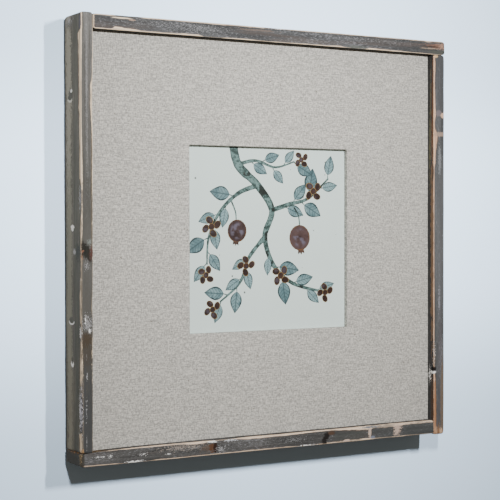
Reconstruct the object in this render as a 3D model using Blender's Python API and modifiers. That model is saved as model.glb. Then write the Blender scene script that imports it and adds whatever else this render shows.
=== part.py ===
"""A painted tile behind a linen-covered mat, in a square frame of four weathered boards.

Metres, +Z up. The picture faces -Y and the wall is the plane y = 0. The origin is at the
middle of the back of the hanger, which is nailed to the back of the top rail.
"""

import math

import bmesh
import bpy
from mathutils import Vector

# The frame: four boards on edge, each butting against the side of the next
FRAME_SIDE = 0.4064
RAIL_FACE = 0.0127
RAIL_DEPTH = 0.0381
LIP_DEPTH = 0.0102
RABBET_WIDTH = 0.005
ARRIS_RADIUS = 0.0014
END_RADIUS = 0.0012

# How far wear rounds a front arris beyond its radius: a mean share, and two waves along it
WEAR_MEAN = 0.25
WEAR_SLOW_SHARE = 0.35
WEAR_SLOW_WAVES = 1.3
WEAR_QUICK_SHARE = 0.25
WEAR_QUICK_WAVES = 3.1
BOARD_PHASE = 1.7
ARRIS_PHASE = 2.3

# The linen-covered mat and its window
BOARD_THICKNESS = 0.0043
LINEN_THICKNESS = 0.0005
WINDOW_SIDE = 0.178
MAT_CLEARANCE = 0.0008

# The tile and the board behind it
TILE_SIDE = 0.2
TILE_THICKNESS = 0.008
TILE_ARRIS = 0.001
BACKING_THICKNESS = 0.005
BACKING_CLEARANCE = 0.0006

# The hanger, its two nails and the two felt bumpers
STAND_OFF = 0.0026
HANGER_LENGTH = 0.045
HANGER_HEIGHT = 0.007
HANGER_THICKNESS = 0.001
HANGER_FOOT = 0.008
HANGER_BEND = 0.003
TOOTH_PITCH = 0.0024
TOOTH_DEPTH = 0.0016
TOOTH_COUNT = 9
NAIL_SHANK_RADIUS = 0.0007
NAIL_HEAD_RADIUS = 0.0018
NAIL_HEAD_THICKNESS = 0.0006
NAIL_LENGTH = 0.013
NAIL_CLEARANCE = 0.0003
BUMPER_RADIUS = 0.0035
BUMPER_INSET = 0.03

# Pieces that touch keep this gap
GAP = 0.0003

# Places along Y, from the front of the boards to their back
BACK = -STAND_OFF
FRONT = BACK - RAIL_DEPTH
LIP_BACK = FRONT + LIP_DEPTH
LINEN_FRONT = LIP_BACK + GAP
LINEN_BACK = LINEN_FRONT + LINEN_THICKNESS
BOARD_FRONT = LINEN_BACK + GAP
BOARD_BACK = BOARD_FRONT + BOARD_THICKNESS
TILE_FRONT = BOARD_BACK + GAP
TILE_BACK = TILE_FRONT + TILE_THICKNESS
BACKING_FRONT = TILE_BACK + GAP
BACKING_BACK = BACKING_FRONT + BACKING_THICKNESS
FOOT_FRONT = BACK + GAP
FOOT_BACK = FOOT_FRONT + HANGER_THICKNESS

# The wood left behind the rabbet, whose middle carries the hanger, and the frame's middle
BACK_WIDTH = RAIL_FACE - RABBET_WIDTH
CENTRE_Z = (BACK_WIDTH - FRAME_SIDE) / 2

# Squares centred on the frame
SIGHT_SIDE = FRAME_SIDE - 2 * RAIL_FACE
RABBET_SIDE = SIGHT_SIDE + 2 * RABBET_WIDTH
MAT_SIDE = RABBET_SIDE - 2 * MAT_CLEARANCE
BOARD_WINDOW = WINDOW_SIDE + 2 * (LINEN_THICKNESS + GAP)
BACKING_SIDE = RABBET_SIDE - 2 * BACKING_CLEARANCE

# How finely round and worn shapes are drawn
ARC_STEPS = 3
WEAR_STEPS = 14
ROUND_SIDES = 20
CUT_MARGIN = 0.002


def clear_scene():
    for obj in list(bpy.data.objects):
        bpy.data.objects.remove(obj)


def new_collection(name):
    collection = bpy.data.collections.new(name)
    bpy.context.scene.collection.children.link(collection)
    return collection


def new_material(name, colour, roughness, metallic=0.0):
    material = bpy.data.materials.new(name)
    material.use_nodes = True
    shader = material.node_tree.nodes["Principled BSDF"]
    shader.inputs["Base Color"].default_value = (*colour, 1.0)
    shader.inputs["Roughness"].default_value = roughness
    shader.inputs["Metallic"].default_value = metallic
    return material


def add_object(name, mesh, collection, material=None):
    obj = bpy.data.objects.new(name, mesh)
    collection.objects.link(obj)
    if material:
        mesh.materials.append(material)
    return obj


def mesh_from(name, bm):
    bm.normal_update()
    bmesh.ops.recalc_face_normals(bm, faces=bm.faces)
    mesh = bpy.data.meshes.new(name)
    bm.to_mesh(mesh)
    bm.free()
    return mesh


def box_mesh(name, low, high):
    """A box between two opposite corners."""
    bm = bmesh.new()
    bmesh.ops.create_cube(bm, size=1)
    low, high = Vector(low), Vector(high)
    bmesh.ops.scale(bm, vec=high - low, verts=bm.verts)
    bmesh.ops.translate(bm, vec=(low + high) / 2, verts=bm.verts)
    return mesh_from(name, bm)


def square_plate_mesh(name, side, front, back):
    """A square plate centred on the frame's middle, between two depths."""
    half = side / 2
    return box_mesh(name, (-half, front, -half), (half, back, half))


def cylinder_mesh(name, radius, front, back):
    """A round rod along Y, between two depths."""
    bm = bmesh.new()
    made = bmesh.ops.create_cone(
        bm,
        cap_ends=True,
        segments=ROUND_SIDES,
        radius1=radius,
        radius2=radius,
        depth=1,
    )
    for vert in made["verts"]:
        x, y, z = vert.co
        vert.co = (x, front + (z + 0.5) * (back - front), y)
    return mesh_from(name, bm)


def shade_round(obj):
    obj.data.shade_smooth()
    obj.data.set_sharp_from_angle(angle=math.radians(40))


def cutter(name, mesh, collection, location=(0, 0, 0)):
    obj = add_object(name, mesh, collection)
    obj.location = location
    obj.hide_render = True
    obj.display_type = "WIRE"
    return obj


def boolean(obj, other, operation):
    modifier = obj.modifiers.new(other.name, "BOOLEAN")
    modifier.operation = operation
    modifier.object = other
    modifier.solver = "EXACT"


def worn_radius(place, turn, arris):
    """The radius of a front arris at a place along its board, from 0 to 1."""
    phase = BOARD_PHASE * turn + ARRIS_PHASE * arris
    slow = WEAR_SLOW_SHARE * math.sin(2 * math.pi * WEAR_SLOW_WAVES * place + phase)
    quick = WEAR_QUICK_SHARE * math.sin(2 * math.pi * WEAR_QUICK_WAVES * place - phase)
    return ARRIS_RADIUS * (1 + WEAR_MEAN + slow + quick)


def board_section(place, turn, inset):
    """The outline of a board across its length: a rectangle whose front arrises are worn."""
    near = FRONT + inset
    far = BACK - inset
    bottom = SIGHT_SIDE / 2 + inset
    top = FRAME_SIDE / 2 - inset
    corners = (
        (near, bottom, 1, 1, worn_radius(place, turn, 0)),
        (far, bottom, -1, 1, ARRIS_RADIUS / 2),
        (far, top, -1, -1, ARRIS_RADIUS / 2),
        (near, top, 1, -1, worn_radius(place, turn, 1)),
    )
    outline = []
    for index, (y, z, inward_y, inward_z, radius) in enumerate(corners):
        centre_y = y + inward_y * radius
        centre_z = z + inward_z * radius
        first = math.pi + index * math.pi / 2
        for step in range(ARC_STEPS + 1):
            angle = first + step * math.pi / (2 * ARC_STEPS)
            outline.append(
                (centre_y + radius * math.cos(angle), centre_z + radius * math.sin(angle))
            )
    return outline


def board_stations():
    """Places along the top rail, each with how far its outline is drawn in at a rounded end."""
    start = -SIGHT_SIDE / 2 + GAP
    end = FRAME_SIDE / 2
    stations = []
    for step in range(ARC_STEPS + 1):
        angle = step * math.pi / (2 * ARC_STEPS)
        stations.append((END_RADIUS * (1 - math.cos(angle)), END_RADIUS * (1 - math.sin(angle))))
    middle = (end - start) - 2 * END_RADIUS
    found = [(start + along, inset) for along, inset in stations]
    found += [
        (start + END_RADIUS + middle * step / WEAR_STEPS, 0.0) for step in range(1, WEAR_STEPS)
    ]
    found += [(end - along, inset) for along, inset in reversed(stations)]
    return found


def board_mesh(name, turn):
    """A worn board in the top rail's place, lofted along X."""
    bm = bmesh.new()
    rings = []
    for x, inset in board_stations():
        place = (x + FRAME_SIDE / 2) / FRAME_SIDE
        outline = board_section(place, turn, inset)
        rings.append([bm.verts.new((x, y, z)) for y, z in outline])
    for ring, following in zip(rings, rings[1:]):
        for index, vert in enumerate(ring):
            after = (index + 1) % len(ring)
            bm.faces.new((vert, ring[after], following[after], following[index]))
    bm.faces.new(rings[0])
    bm.faces.new(rings[-1])
    return mesh_from(name, bm)


def outline_mesh(name, points, half_thickness):
    """A flat outline in X and Y given a thickness along Z, as a closed mesh."""
    curve = bpy.data.curves.new(name, "CURVE")
    curve.dimensions = "2D"
    curve.fill_mode = "BOTH"
    curve.extrude = half_thickness
    spline = curve.splines.new("POLY")
    spline.points.add(len(points) - 1)
    for point, (x, y) in zip(spline.points, points):
        point.co = (x, y, 0, 1)
    spline.use_cyclic_u = True
    guide = bpy.data.objects.new(name, curve)
    bpy.context.scene.collection.objects.link(guide)
    bpy.context.view_layer.update()
    graph = bpy.context.evaluated_depsgraph_get()
    mesh = bpy.data.meshes.new_from_object(guide.evaluated_get(graph))
    bpy.data.objects.remove(guide)
    bm = bmesh.new()
    bm.from_mesh(mesh)
    bmesh.ops.remove_doubles(bm, verts=bm.verts, dist=0.00001)
    bpy.data.meshes.remove(mesh)
    return mesh_from(name, bm)


def hanger_strip():
    """The hanger seen from above: two feet on the rail and a raised middle on the wall."""
    half = HANGER_LENGTH / 2
    foot_end = half - HANGER_FOOT
    rise_end = foot_end - HANGER_BEND
    near_wall = [(half, FOOT_BACK), (foot_end, FOOT_BACK), (rise_end, 0.0)]
    near_rail = [
        (rise_end - HANGER_THICKNESS / 2, -HANGER_THICKNESS),
        (foot_end - HANGER_THICKNESS / 2, FOOT_FRONT),
        (half, FOOT_FRONT),
    ]
    right = near_rail + near_wall
    left = [(-x, y) for x, y in reversed(right)]
    return right + left


def tooth_row():
    """The saw-tooth edge that is cut from the hanger, in X and Z, as one zigzag."""
    half = TOOTH_COUNT * TOOTH_PITCH / 2
    floor = -HANGER_HEIGHT / 2
    points = [(-half, floor - CUT_MARGIN)]
    for tooth in range(TOOTH_COUNT):
        left = -half + tooth * TOOTH_PITCH
        points.append((left, floor))
        points.append((left + TOOTH_PITCH / 2, floor + TOOTH_DEPTH))
    points += [(half, floor), (half, floor - CUT_MARGIN)]
    return points


clear_scene()
pieces = new_collection("framed_painted_tile")
cutters = new_collection("cutters")

weathered_wood = new_material("weathered_wood", (0.16, 0.145, 0.13), 0.85)
linen = new_material("natural_linen", (0.5, 0.47, 0.42), 0.9)
mat_core = new_material("mat_core", (0.75, 0.73, 0.68), 0.9)
glazed_tile = new_material("glazed_tile", (0.55, 0.62, 0.62), 0.2)
hardboard = new_material("hardboard", (0.22, 0.13, 0.07), 0.8)
bright_steel = new_material("bright_steel", (0.6, 0.58, 0.52), 0.35, 1.0)
grey_felt = new_material("grey_felt", (0.12, 0.12, 0.12), 0.95)

# Everything that is centred on the frame hangs on this point
frame_centre = bpy.data.objects.new("frame_centre", None)
frame_centre.location = (0, 0, CENTRE_Z)
pieces.objects.link(frame_centre)

# The four boards: the top rail's place, turned by quarter turns about the frame's middle
rabbet = cutter(
    "rabbet_cut",
    square_plate_mesh("rabbet_cut", RABBET_SIDE, LIP_BACK, BACK + CUT_MARGIN),
    cutters,
    frame_centre.location,
)
boards = {}
for turn, board_name in enumerate(("top_rail", "right_stile", "bottom_rail", "left_stile")):
    board = add_object(board_name, board_mesh(board_name, turn), pieces, weathered_wood)
    board.parent = frame_centre
    board.rotation_euler = (0, turn * math.pi / 2, 0)
    boolean(board, rabbet, "DIFFERENCE")
    shade_round(board)
    boards[board_name] = board

# The mat: a board with a square window, and linen drawn over its face and into the window
mat_board = add_object(
    "mat_board",
    square_plate_mesh("mat_board", MAT_SIDE, BOARD_FRONT, BOARD_BACK),
    pieces,
    mat_core,
)
mat_board.parent = frame_centre
board_window_cut = cutter(
    "board_window_cut",
    square_plate_mesh(
        "board_window_cut", BOARD_WINDOW, LINEN_FRONT - CUT_MARGIN, BOARD_BACK + CUT_MARGIN
    ),
    cutters,
    frame_centre.location,
)
boolean(mat_board, board_window_cut, "DIFFERENCE")

linen_cover = add_object(
    "linen_cover",
    square_plate_mesh("linen_cover", MAT_SIDE, LINEN_FRONT, LINEN_BACK),
    pieces,
    linen,
)
linen_cover.parent = frame_centre
window_lining = cutter(
    "window_lining",
    square_plate_mesh(
        "window_lining", WINDOW_SIDE + 2 * LINEN_THICKNESS, LINEN_FRONT, BOARD_BACK
    ),
    cutters,
    frame_centre.location,
)
window_cut = cutter(
    "window_cut",
    square_plate_mesh(
        "window_cut", WINDOW_SIDE, LINEN_FRONT - CUT_MARGIN, BOARD_BACK + CUT_MARGIN
    ),
    cutters,
    frame_centre.location,
)
boolean(linen_cover, window_lining, "UNION")
boolean(linen_cover, window_cut, "DIFFERENCE")

# The tile lies behind the window, and the backing board behind the tile
tile = add_object(
    "painted_tile",
    square_plate_mesh("painted_tile", TILE_SIDE, TILE_FRONT, TILE_BACK),
    pieces,
    glazed_tile,
)
tile.parent = frame_centre
soft_edges = tile.modifiers.new("soft_edges", "BEVEL")
soft_edges.width = TILE_ARRIS
soft_edges.segments = 3
shade_round(tile)

backing_board = add_object(
    "backing_board",
    square_plate_mesh("backing_board", BACKING_SIDE, BACKING_FRONT, BACKING_BACK),
    pieces,
    hardboard,
)
backing_board.parent = frame_centre

# The saw-tooth hanger on the back of the top rail, held by a nail through each foot
hanger = add_object(
    "sawtooth_hanger",
    outline_mesh("sawtooth_hanger", hanger_strip(), HANGER_HEIGHT / 2),
    pieces,
    bright_steel,
)
teeth = cutter(
    "teeth_cut", outline_mesh("teeth_cut", tooth_row(), STAND_OFF + CUT_MARGIN), cutters
)
teeth.rotation_euler = (math.pi / 2, 0, 0)
boolean(hanger, teeth, "DIFFERENCE")

nail_x = HANGER_LENGTH / 2 - HANGER_FOOT / 2
head_front = FOOT_BACK + GAP
head_back = head_front + NAIL_HEAD_THICKNESS
for side_name, x in (("left", -nail_x), ("right", nail_x)):
    nail = add_object(
        f"hanger_nail_{side_name}",
        cylinder_mesh("nail_head", NAIL_HEAD_RADIUS, head_front, head_back),
        pieces,
        bright_steel,
    )
    nail.location = (x, 0, 0)
    shank = cutter(
        f"nail_shank_{side_name}",
        cylinder_mesh(
            "nail_shank", NAIL_SHANK_RADIUS, head_back - NAIL_LENGTH, head_front + GAP
        ),
        cutters,
        (x, 0, 0),
    )
    boolean(nail, shank, "UNION")
    shade_round(nail)
    pilot_hole = cutter(
        f"pilot_hole_{side_name}",
        cylinder_mesh(
            "pilot_hole",
            NAIL_SHANK_RADIUS + NAIL_CLEARANCE,
            head_back - NAIL_LENGTH - NAIL_CLEARANCE,
            CUT_MARGIN,
        ),
        cutters,
        (x, 0, 0),
    )
    boolean(hanger, pilot_hole, "DIFFERENCE")
    boolean(boards["top_rail"], pilot_hole, "DIFFERENCE")

# Two felt bumpers keep the bottom of the frame as far from the wall as the hanger does its top
bumper_x = FRAME_SIDE / 2 - BUMPER_INSET
bumper_z = BACK_WIDTH - FRAME_SIDE
for side_name, x in (("left", -bumper_x), ("right", bumper_x)):
    bumper = add_object(
        f"wall_bumper_{side_name}",
        cylinder_mesh("wall_bumper", BUMPER_RADIUS, BACK + GAP, 0.0),
        pieces,
        grey_felt,
    )
    bumper.location = (x, 0, bumper_z)
    shade_round(bumper)
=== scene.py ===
"""Dress the framed painted tile: weathered boards, a linen mat, a painted tile and its back."""

import math

import bmesh
import bpy
import numpy as np
from mathutils import Matrix, Vector, noise
from mathutils.geometry import delaunay_2d_cdt, interpolate_bezier


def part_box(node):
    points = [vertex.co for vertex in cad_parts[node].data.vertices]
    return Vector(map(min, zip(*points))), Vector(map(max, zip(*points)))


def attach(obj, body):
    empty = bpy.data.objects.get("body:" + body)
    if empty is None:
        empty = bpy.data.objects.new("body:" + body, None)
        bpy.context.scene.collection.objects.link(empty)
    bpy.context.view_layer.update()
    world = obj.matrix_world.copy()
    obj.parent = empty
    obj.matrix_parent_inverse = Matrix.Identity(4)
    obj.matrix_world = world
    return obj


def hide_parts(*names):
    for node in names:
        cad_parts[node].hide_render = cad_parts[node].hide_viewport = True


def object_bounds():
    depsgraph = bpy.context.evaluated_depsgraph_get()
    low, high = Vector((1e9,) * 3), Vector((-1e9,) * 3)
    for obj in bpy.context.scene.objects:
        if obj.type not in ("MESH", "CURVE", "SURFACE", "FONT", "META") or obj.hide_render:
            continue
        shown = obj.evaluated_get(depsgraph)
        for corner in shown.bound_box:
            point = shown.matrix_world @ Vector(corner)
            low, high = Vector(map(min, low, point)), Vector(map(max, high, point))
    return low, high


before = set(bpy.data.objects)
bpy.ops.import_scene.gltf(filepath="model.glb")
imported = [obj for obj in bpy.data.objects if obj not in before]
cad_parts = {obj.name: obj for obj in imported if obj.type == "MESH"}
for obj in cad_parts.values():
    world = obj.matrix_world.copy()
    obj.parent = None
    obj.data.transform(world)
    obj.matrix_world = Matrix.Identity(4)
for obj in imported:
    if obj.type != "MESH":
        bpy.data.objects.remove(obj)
cad_low, cad_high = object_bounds()

# The four boards
# Half-inch boards on edge, silvered by weather, sawn to length and butted round the frame.
# Their arrises are worn through to raw wood, and flecks of old white paint cling in the grain.
BOARD_DEPTH = 0.0381
BOARD_FACE = 0.0127
BOARD_LENGTH = 0.3934
LIP_DEPTH = 0.0102
RABBET_WIDTH = 0.005
ALONG_STEP = 0.0016
DEPTH_STEP = 0.0006
FACE_STEP = 0.00045
END_CROWDING = 0.7
END_ROUND = 0.0014
END_ROUND_MORE = 0.0012
END_ROUND_RUN = 0.0025
BACK_ROUND = 0.0009
FRONT_ROUND = 0.0006
WORN_ROUND = 0.8
ROUND_WANDER = 0.0003
OUTER_WAVES = 60
INNER_WAVES = 70
LEAST_ROUND = 0.0004
MOST_ROUND = 0.003
GRAIN_RELIEF = 0.00014
GRAIN_LEVEL = 0.3
GRAIN_ALONG = 12
GRAIN_ACROSS = 430
HAND_RELIEF = 0.0002
HAND_ALONG = 24
HAND_ACROSS = 150
BOARD_JUMP = 1.37
WOOD_BUMP = 0.0004
SMOOTH_BELOW = math.radians(50)
TINY = 1e-6
MM = 0.001

frame_middle_z = (cad_low.z + cad_high.z) / 2


def new_piece(name, low, high):
    """Start a piece from a box between two corners, with its place in its mesh."""
    bpy.ops.object.select_all(action="DESELECT")
    bpy.ops.mesh.primitive_cube_add(size=1, location=(low + high) / 2)
    piece = bpy.context.object
    piece.name = name
    piece.scale = high - low
    bpy.ops.object.transform_apply(location=True, rotation=True, scale=True)
    return piece


def divide(piece, axis, step):
    """Cut a box into slices of about one step along an axis."""
    bpy.ops.object.mode_set(mode="EDIT")
    bpy.ops.mesh.select_mode(type="EDGE")
    bpy.ops.mesh.select_all(action="DESELECT")
    mesh = bmesh.from_edit_mesh(piece.data)
    longest = 0.0
    for edge in mesh.edges:
        run = abs(edge.verts[0].co[axis] - edge.verts[1].co[axis])
        longest = max(longest, run)
        edge.select_set(run > TINY)
    bmesh.update_edit_mesh(piece.data)
    bpy.ops.mesh.subdivide(number_cuts=max(1, round(longest / step) - 1))
    bpy.ops.object.mode_set(mode="OBJECT")


def crowd_ends(piece, axis, low, high):
    """Move the slices of a board closer together towards its two ends."""
    for vert in piece.data.vertices:
        share = (vert.co[axis] - low) / (high - low)
        share -= END_CROWDING * math.sin(2 * math.pi * share) / (2 * math.pi)
        vert.co[axis] = low + (high - low) * share


def cut_away(piece, low, high):
    """Cut a box-shaped hollow out of a piece."""
    tool = new_piece("hollow", low, high)
    modifier = piece.modifiers.new("hollow", "BOOLEAN")
    modifier.operation = "DIFFERENCE"
    modifier.object = tool
    modifier.solver = "EXACT"
    bpy.ops.object.select_all(action="DESELECT")
    bpy.context.view_layer.objects.active = piece
    piece.select_set(True)
    bpy.ops.object.modifier_apply(modifier=modifier.name)
    bpy.data.objects.remove(tool)


def wander(values, quickness, seed):
    """A smooth random wave along a board, from -1 to 1, at each of the values."""
    stations = np.linspace(0, BOARD_LENGTH, 500)
    heights = [noise.noise(Vector((s * quickness, seed, 0.5))) for s in stations]
    return np.interp(values, stations, heights)


def worn_widths(band, run):
    """How far the wear reaches from an arris over the front and over the side, in metres."""
    stations, front, side = np.array(sorted(band)).T * MM
    return np.interp(run, stations, front), np.interp(run, stations, side)


def knock_corner(rest, first, first_end, first_round, second, second_end, second_round):
    """Round off a corner of a board, seen along its third direction."""
    limits = (BOARD_LENGTH, BOARD_DEPTH, BOARD_FACE)
    sizes = []
    for axis, end, reach in ((first, first_end, first_round), (second, second_end, second_round)):
        outer = limits[axis] if end else 0.0
        centre = outer - reach if end else reach
        past = (rest[:, axis] - centre) / (outer - centre)
        sizes.append((axis, centre, outer, past))
    far = np.hypot(sizes[0][3], sizes[1][3])
    moved = (sizes[0][3] > 0) & (sizes[1][3] > 0) & (far > 1)
    for axis, centre, outer, past in sizes:
        rest[moved, axis] = centre + (outer - centre) * past[moved] / far[moved]


def note(mesh, label, columns):
    """Keep three numbers at each point of a mesh, for its finish to read."""
    attribute = mesh.attributes.new(label, "FLOAT_VECTOR", "POINT")
    attribute.data.foreach_set("vector", np.column_stack(columns).ravel())


def weather(piece, node, made):
    """Wear a sawn board: round its arrises unevenly, raise its grain and note each point's place."""
    low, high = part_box(node)
    turn = made["turn"]
    angle = turn * math.pi / 2
    along = Vector((round(math.cos(angle)), 0, -round(math.sin(angle))))
    outward = Vector((round(math.sin(angle)), 0, round(math.cos(angle))))
    both = along + outward
    corner = Vector([high[i] if both[i] < 0 else low[i] for i in range(3)])
    mesh = piece.data
    points = np.empty(len(mesh.vertices) * 3)
    mesh.vertices.foreach_get("co", points)
    points = points.reshape(-1, 3) - np.array(corner)
    rest = np.column_stack([points @ np.array(along), points[:, 1], points @ np.array(outward)])

    run, depth, face = rest.T
    note(mesh, "board_place", (run, depth, face))
    rounds = []
    for label, waves, shift in (("outer", OUTER_WAVES, 0.3), ("inner", INNER_WAVES, 7.7)):
        front, side = worn_widths(made[label + "_band"], run)
        note(mesh, label + "_wear", (front, side, np.zeros(len(run))))
        wave = ROUND_WANDER * wander(run, waves, turn + shift)
        rounds.append(FRONT_ROUND + WORN_ROUND * np.minimum(front, side) + wave)
    radius = np.where(face > BOARD_FACE / 2, rounds[0], rounds[1])
    radius = np.clip(radius, LEAST_ROUND, MOST_ROUND)
    from_end = np.minimum(run, BOARD_LENGTH - run)
    radius += END_ROUND_MORE * np.exp(-((from_end / END_ROUND_RUN) ** 2))
    radius = np.where(depth < BOARD_DEPTH / 2, radius, BACK_ROUND)
    core = np.column_stack(
        [
            np.clip(run, END_ROUND, BOARD_LENGTH - END_ROUND),
            np.clip(depth, radius, BOARD_DEPTH - radius),
            np.clip(face, radius, BOARD_FACE - radius),
        ]
    )
    away = rest - core
    away[:, 0] *= radius / END_ROUND
    skin = np.abs(away).max(axis=1) > radius - TINY
    size = np.maximum(np.linalg.norm(away, axis=1), 1e-9)
    normal = away / size[:, None]
    worn = core + normal * np.column_stack([np.full(len(run), END_ROUND), radius, radius])

    seed = Vector((11.3 * turn, 5.1, 2.7 * turn))
    heights = []
    for a, d, f in rest:
        ridge = noise.noise(Vector((a * GRAIN_ALONG, d * GRAIN_ACROSS, f * GRAIN_ACROSS)) + seed)
        hollow = noise.noise(Vector((a * HAND_ALONG, d * HAND_ACROSS, f * HAND_ACROSS)) - seed)
        heights.append(GRAIN_RELIEF * (abs(ridge) - GRAIN_LEVEL) + HAND_RELIEF * hollow)
    worn += normal * np.array(heights)[:, None]
    for knock in made["knocks"]:
        knock_corner(worn, *knock)
    worn = np.where(skin[:, None], worn, rest)
    reach = worn[:, 0] / BOARD_LENGTH
    fuller = made["fuller"]
    wider = fuller[0] + (fuller[1] - fuller[0]) * reach
    worn[:, 2] = BOARD_FACE - (BOARD_FACE - worn[:, 2]) * (1 + wider * MM / BOARD_FACE)
    worn[:, 0] += made["trimmed"] * MM * (1 - reach) + made["proud"] * MM * reach
    placed = np.array(corner) + worn[:, :1] * np.array(along) + worn[:, 2:] * np.array(outward)
    placed[:, 1] += worn[:, 1]
    mesh.vertices.foreach_set("co", placed.ravel())
    mesh.update()


def smooth_shade(piece):
    """Shade a piece smooth, apart from its sharp edges."""
    bpy.ops.object.select_all(action="DESELECT")
    bpy.context.view_layer.objects.active = piece
    piece.select_set(True)
    bpy.ops.object.shade_smooth_by_angle(angle=SMOOTH_BELOW)


def plug(tree, socket, value):
    """Set a shader socket to a value, or join it to another node's output."""
    if isinstance(value, bpy.types.NodeSocket):
        tree.links.new(value, socket)
    else:
        socket.default_value = value


def add_node(tree, kind, inputs=None, **settings):
    """Add a shader node with its settings and what goes into its sockets."""
    node = tree.nodes.new("ShaderNode" + kind)
    for name, value in settings.items():
        setattr(node, name, value)
    for name, value in (inputs or {}).items():
        plug(tree, node.inputs[name], value)
    return node


def calc(tree, operation, *values):
    """Add a math node and give its result."""
    node = add_node(tree, "Math", operation=operation)
    for socket, value in zip(node.inputs, values):
        plug(tree, socket, value)
    return node.outputs[0]


def weighted(tree, *parts):
    """Add up values, each times its own weight."""
    total = calc(tree, "MULTIPLY", *parts[0])
    for value, weight in parts[1:]:
        total = calc(tree, "MULTIPLY_ADD", value, weight, total)
    return total


def vector_calc(tree, operation, *values):
    """Add a vector math node and give its result."""
    node = add_node(tree, "VectorMath", operation=operation)
    for socket, value in zip(node.inputs, values):
        plug(tree, socket, value)
    return node.outputs["Value" if operation in {"LENGTH", "DOT_PRODUCT"} else "Vector"]


def ramp(tree, value, start, end, low=0.0, high=1.0):
    """Ease from low to high while the value goes from start to end."""
    inputs = {"Value": value, "From Min": start, "From Max": end, "To Min": low, "To Max": high}
    return add_node(tree, "MapRange", inputs, interpolation_type="SMOOTHSTEP").outputs["Result"]


def tint(tree, share, first, second, mode="MIX"):
    """Mix two colours by a share."""
    node = add_node(tree, "Mix", {0: share, 6: first, 7: second}, data_type="RGBA", blend_type=mode)
    return node.outputs[2]


def grey(tree, value):
    """A grey colour from a value."""
    return add_node(tree, "CombineColor", {0: value, 1: value, 2: value}).outputs[0]


def cloud(tree, place, scale, detail=2.0, rough=0.5, shift=(0, 0, 0)):
    """Noise whose grains are 1 / scale long in each direction."""
    mapping = add_node(tree, "Mapping", {"Vector": place, "Location": shift, "Scale": scale})
    inputs = {"Vector": mapping.outputs[0], "Scale": 1.0, "Detail": detail, "Roughness": rough}
    return add_node(tree, "TexNoise", inputs).outputs["Fac"]


def around_zero(tree, value, strength):
    """Turn noise about one half into noise about zero."""
    return calc(tree, "MULTIPLY", calc(tree, "SUBTRACT", value, 0.5), strength)


def new_group(name, inputs, outputs):
    """Start a shader group with named sockets and give its tree, its inputs and its outputs."""
    tree = bpy.data.node_groups.new(name, "ShaderNodeTree")
    for label, (kind, value) in inputs.items():
        socket = tree.interface.new_socket(label, in_out="INPUT", socket_type="NodeSocket" + kind)
        if value is not None:
            socket.default_value = value
    for label, kind in outputs.items():
        tree.interface.new_socket(label, in_out="OUTPUT", socket_type="NodeSocket" + kind)
    entry = tree.nodes.new("NodeGroupInput")
    leave = tree.nodes.new("NodeGroupOutput")
    return tree, entry.outputs, leave.inputs


def new_finish(name, roughness, values=None):
    """Start a material and give it, its tree and its shader."""
    material = bpy.data.materials.new(name)
    material.use_nodes = True
    tree = material.node_tree
    shader = tree.nodes["Principled BSDF"]
    shader.inputs["Roughness"].default_value = roughness
    for label, value in (values or {}).items():
        shader.inputs[label].default_value = value
    return material, tree, shader


def relief(tree, shader, height, distance, strength=1.0):
    """Bump a surface by a height from 0 to 1."""
    inputs = {"Height": height, "Distance": distance, "Strength": strength}
    bump = add_node(tree, "Bump", inputs)
    tree.links.new(bump.outputs["Normal"], shader.inputs["Normal"])


def patch_group():
    """A spot round a centre on a board, with a ragged edge, whole or broken into flecks."""
    tree, given, found = new_group(
        "ragged_patch",
        {
            "Place": ("Vector", None),
            "Centre": ("Vector", (0, 0, 0)),
            "Reach": ("Vector", (0.01, 0.01, 0.01)),
            "Ragged": ("Float", 0.5),
            "Broken": ("Float", 0.0),
        },
        {"Mask": "Float"},
    )
    offset = vector_calc(tree, "SUBTRACT", given["Place"], given["Centre"])
    share = vector_calc(tree, "LENGTH", vector_calc(tree, "DIVIDE", offset, given["Reach"]))
    edge = around_zero(tree, cloud(tree, given["Place"], (130, 620, 620), 3.0, 0.6), 3.0)
    fleck = around_zero(tree, cloud(tree, given["Place"], (520, 1300, 1300), 2.0, 0.6, (3, 1, 4)), 5.0)
    ragged = (edge, given["Ragged"])
    broken = (fleck, given["Broken"])
    share = weighted(tree, (share, 1.0), ragged, broken, (given["Broken"], 0.45))
    plug(tree, found["Mask"], ramp(tree, share, 1.15, 0.8))
    return tree


OUTER_BLEND = 0.001
OUTER_EDGE = 0.0002
INNER_BLEND = 0.0006
INNER_SHADE_BLEND = 0.0012
LEAST_WEAR = 0.00004
LEAST_END = 0.00001


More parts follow.
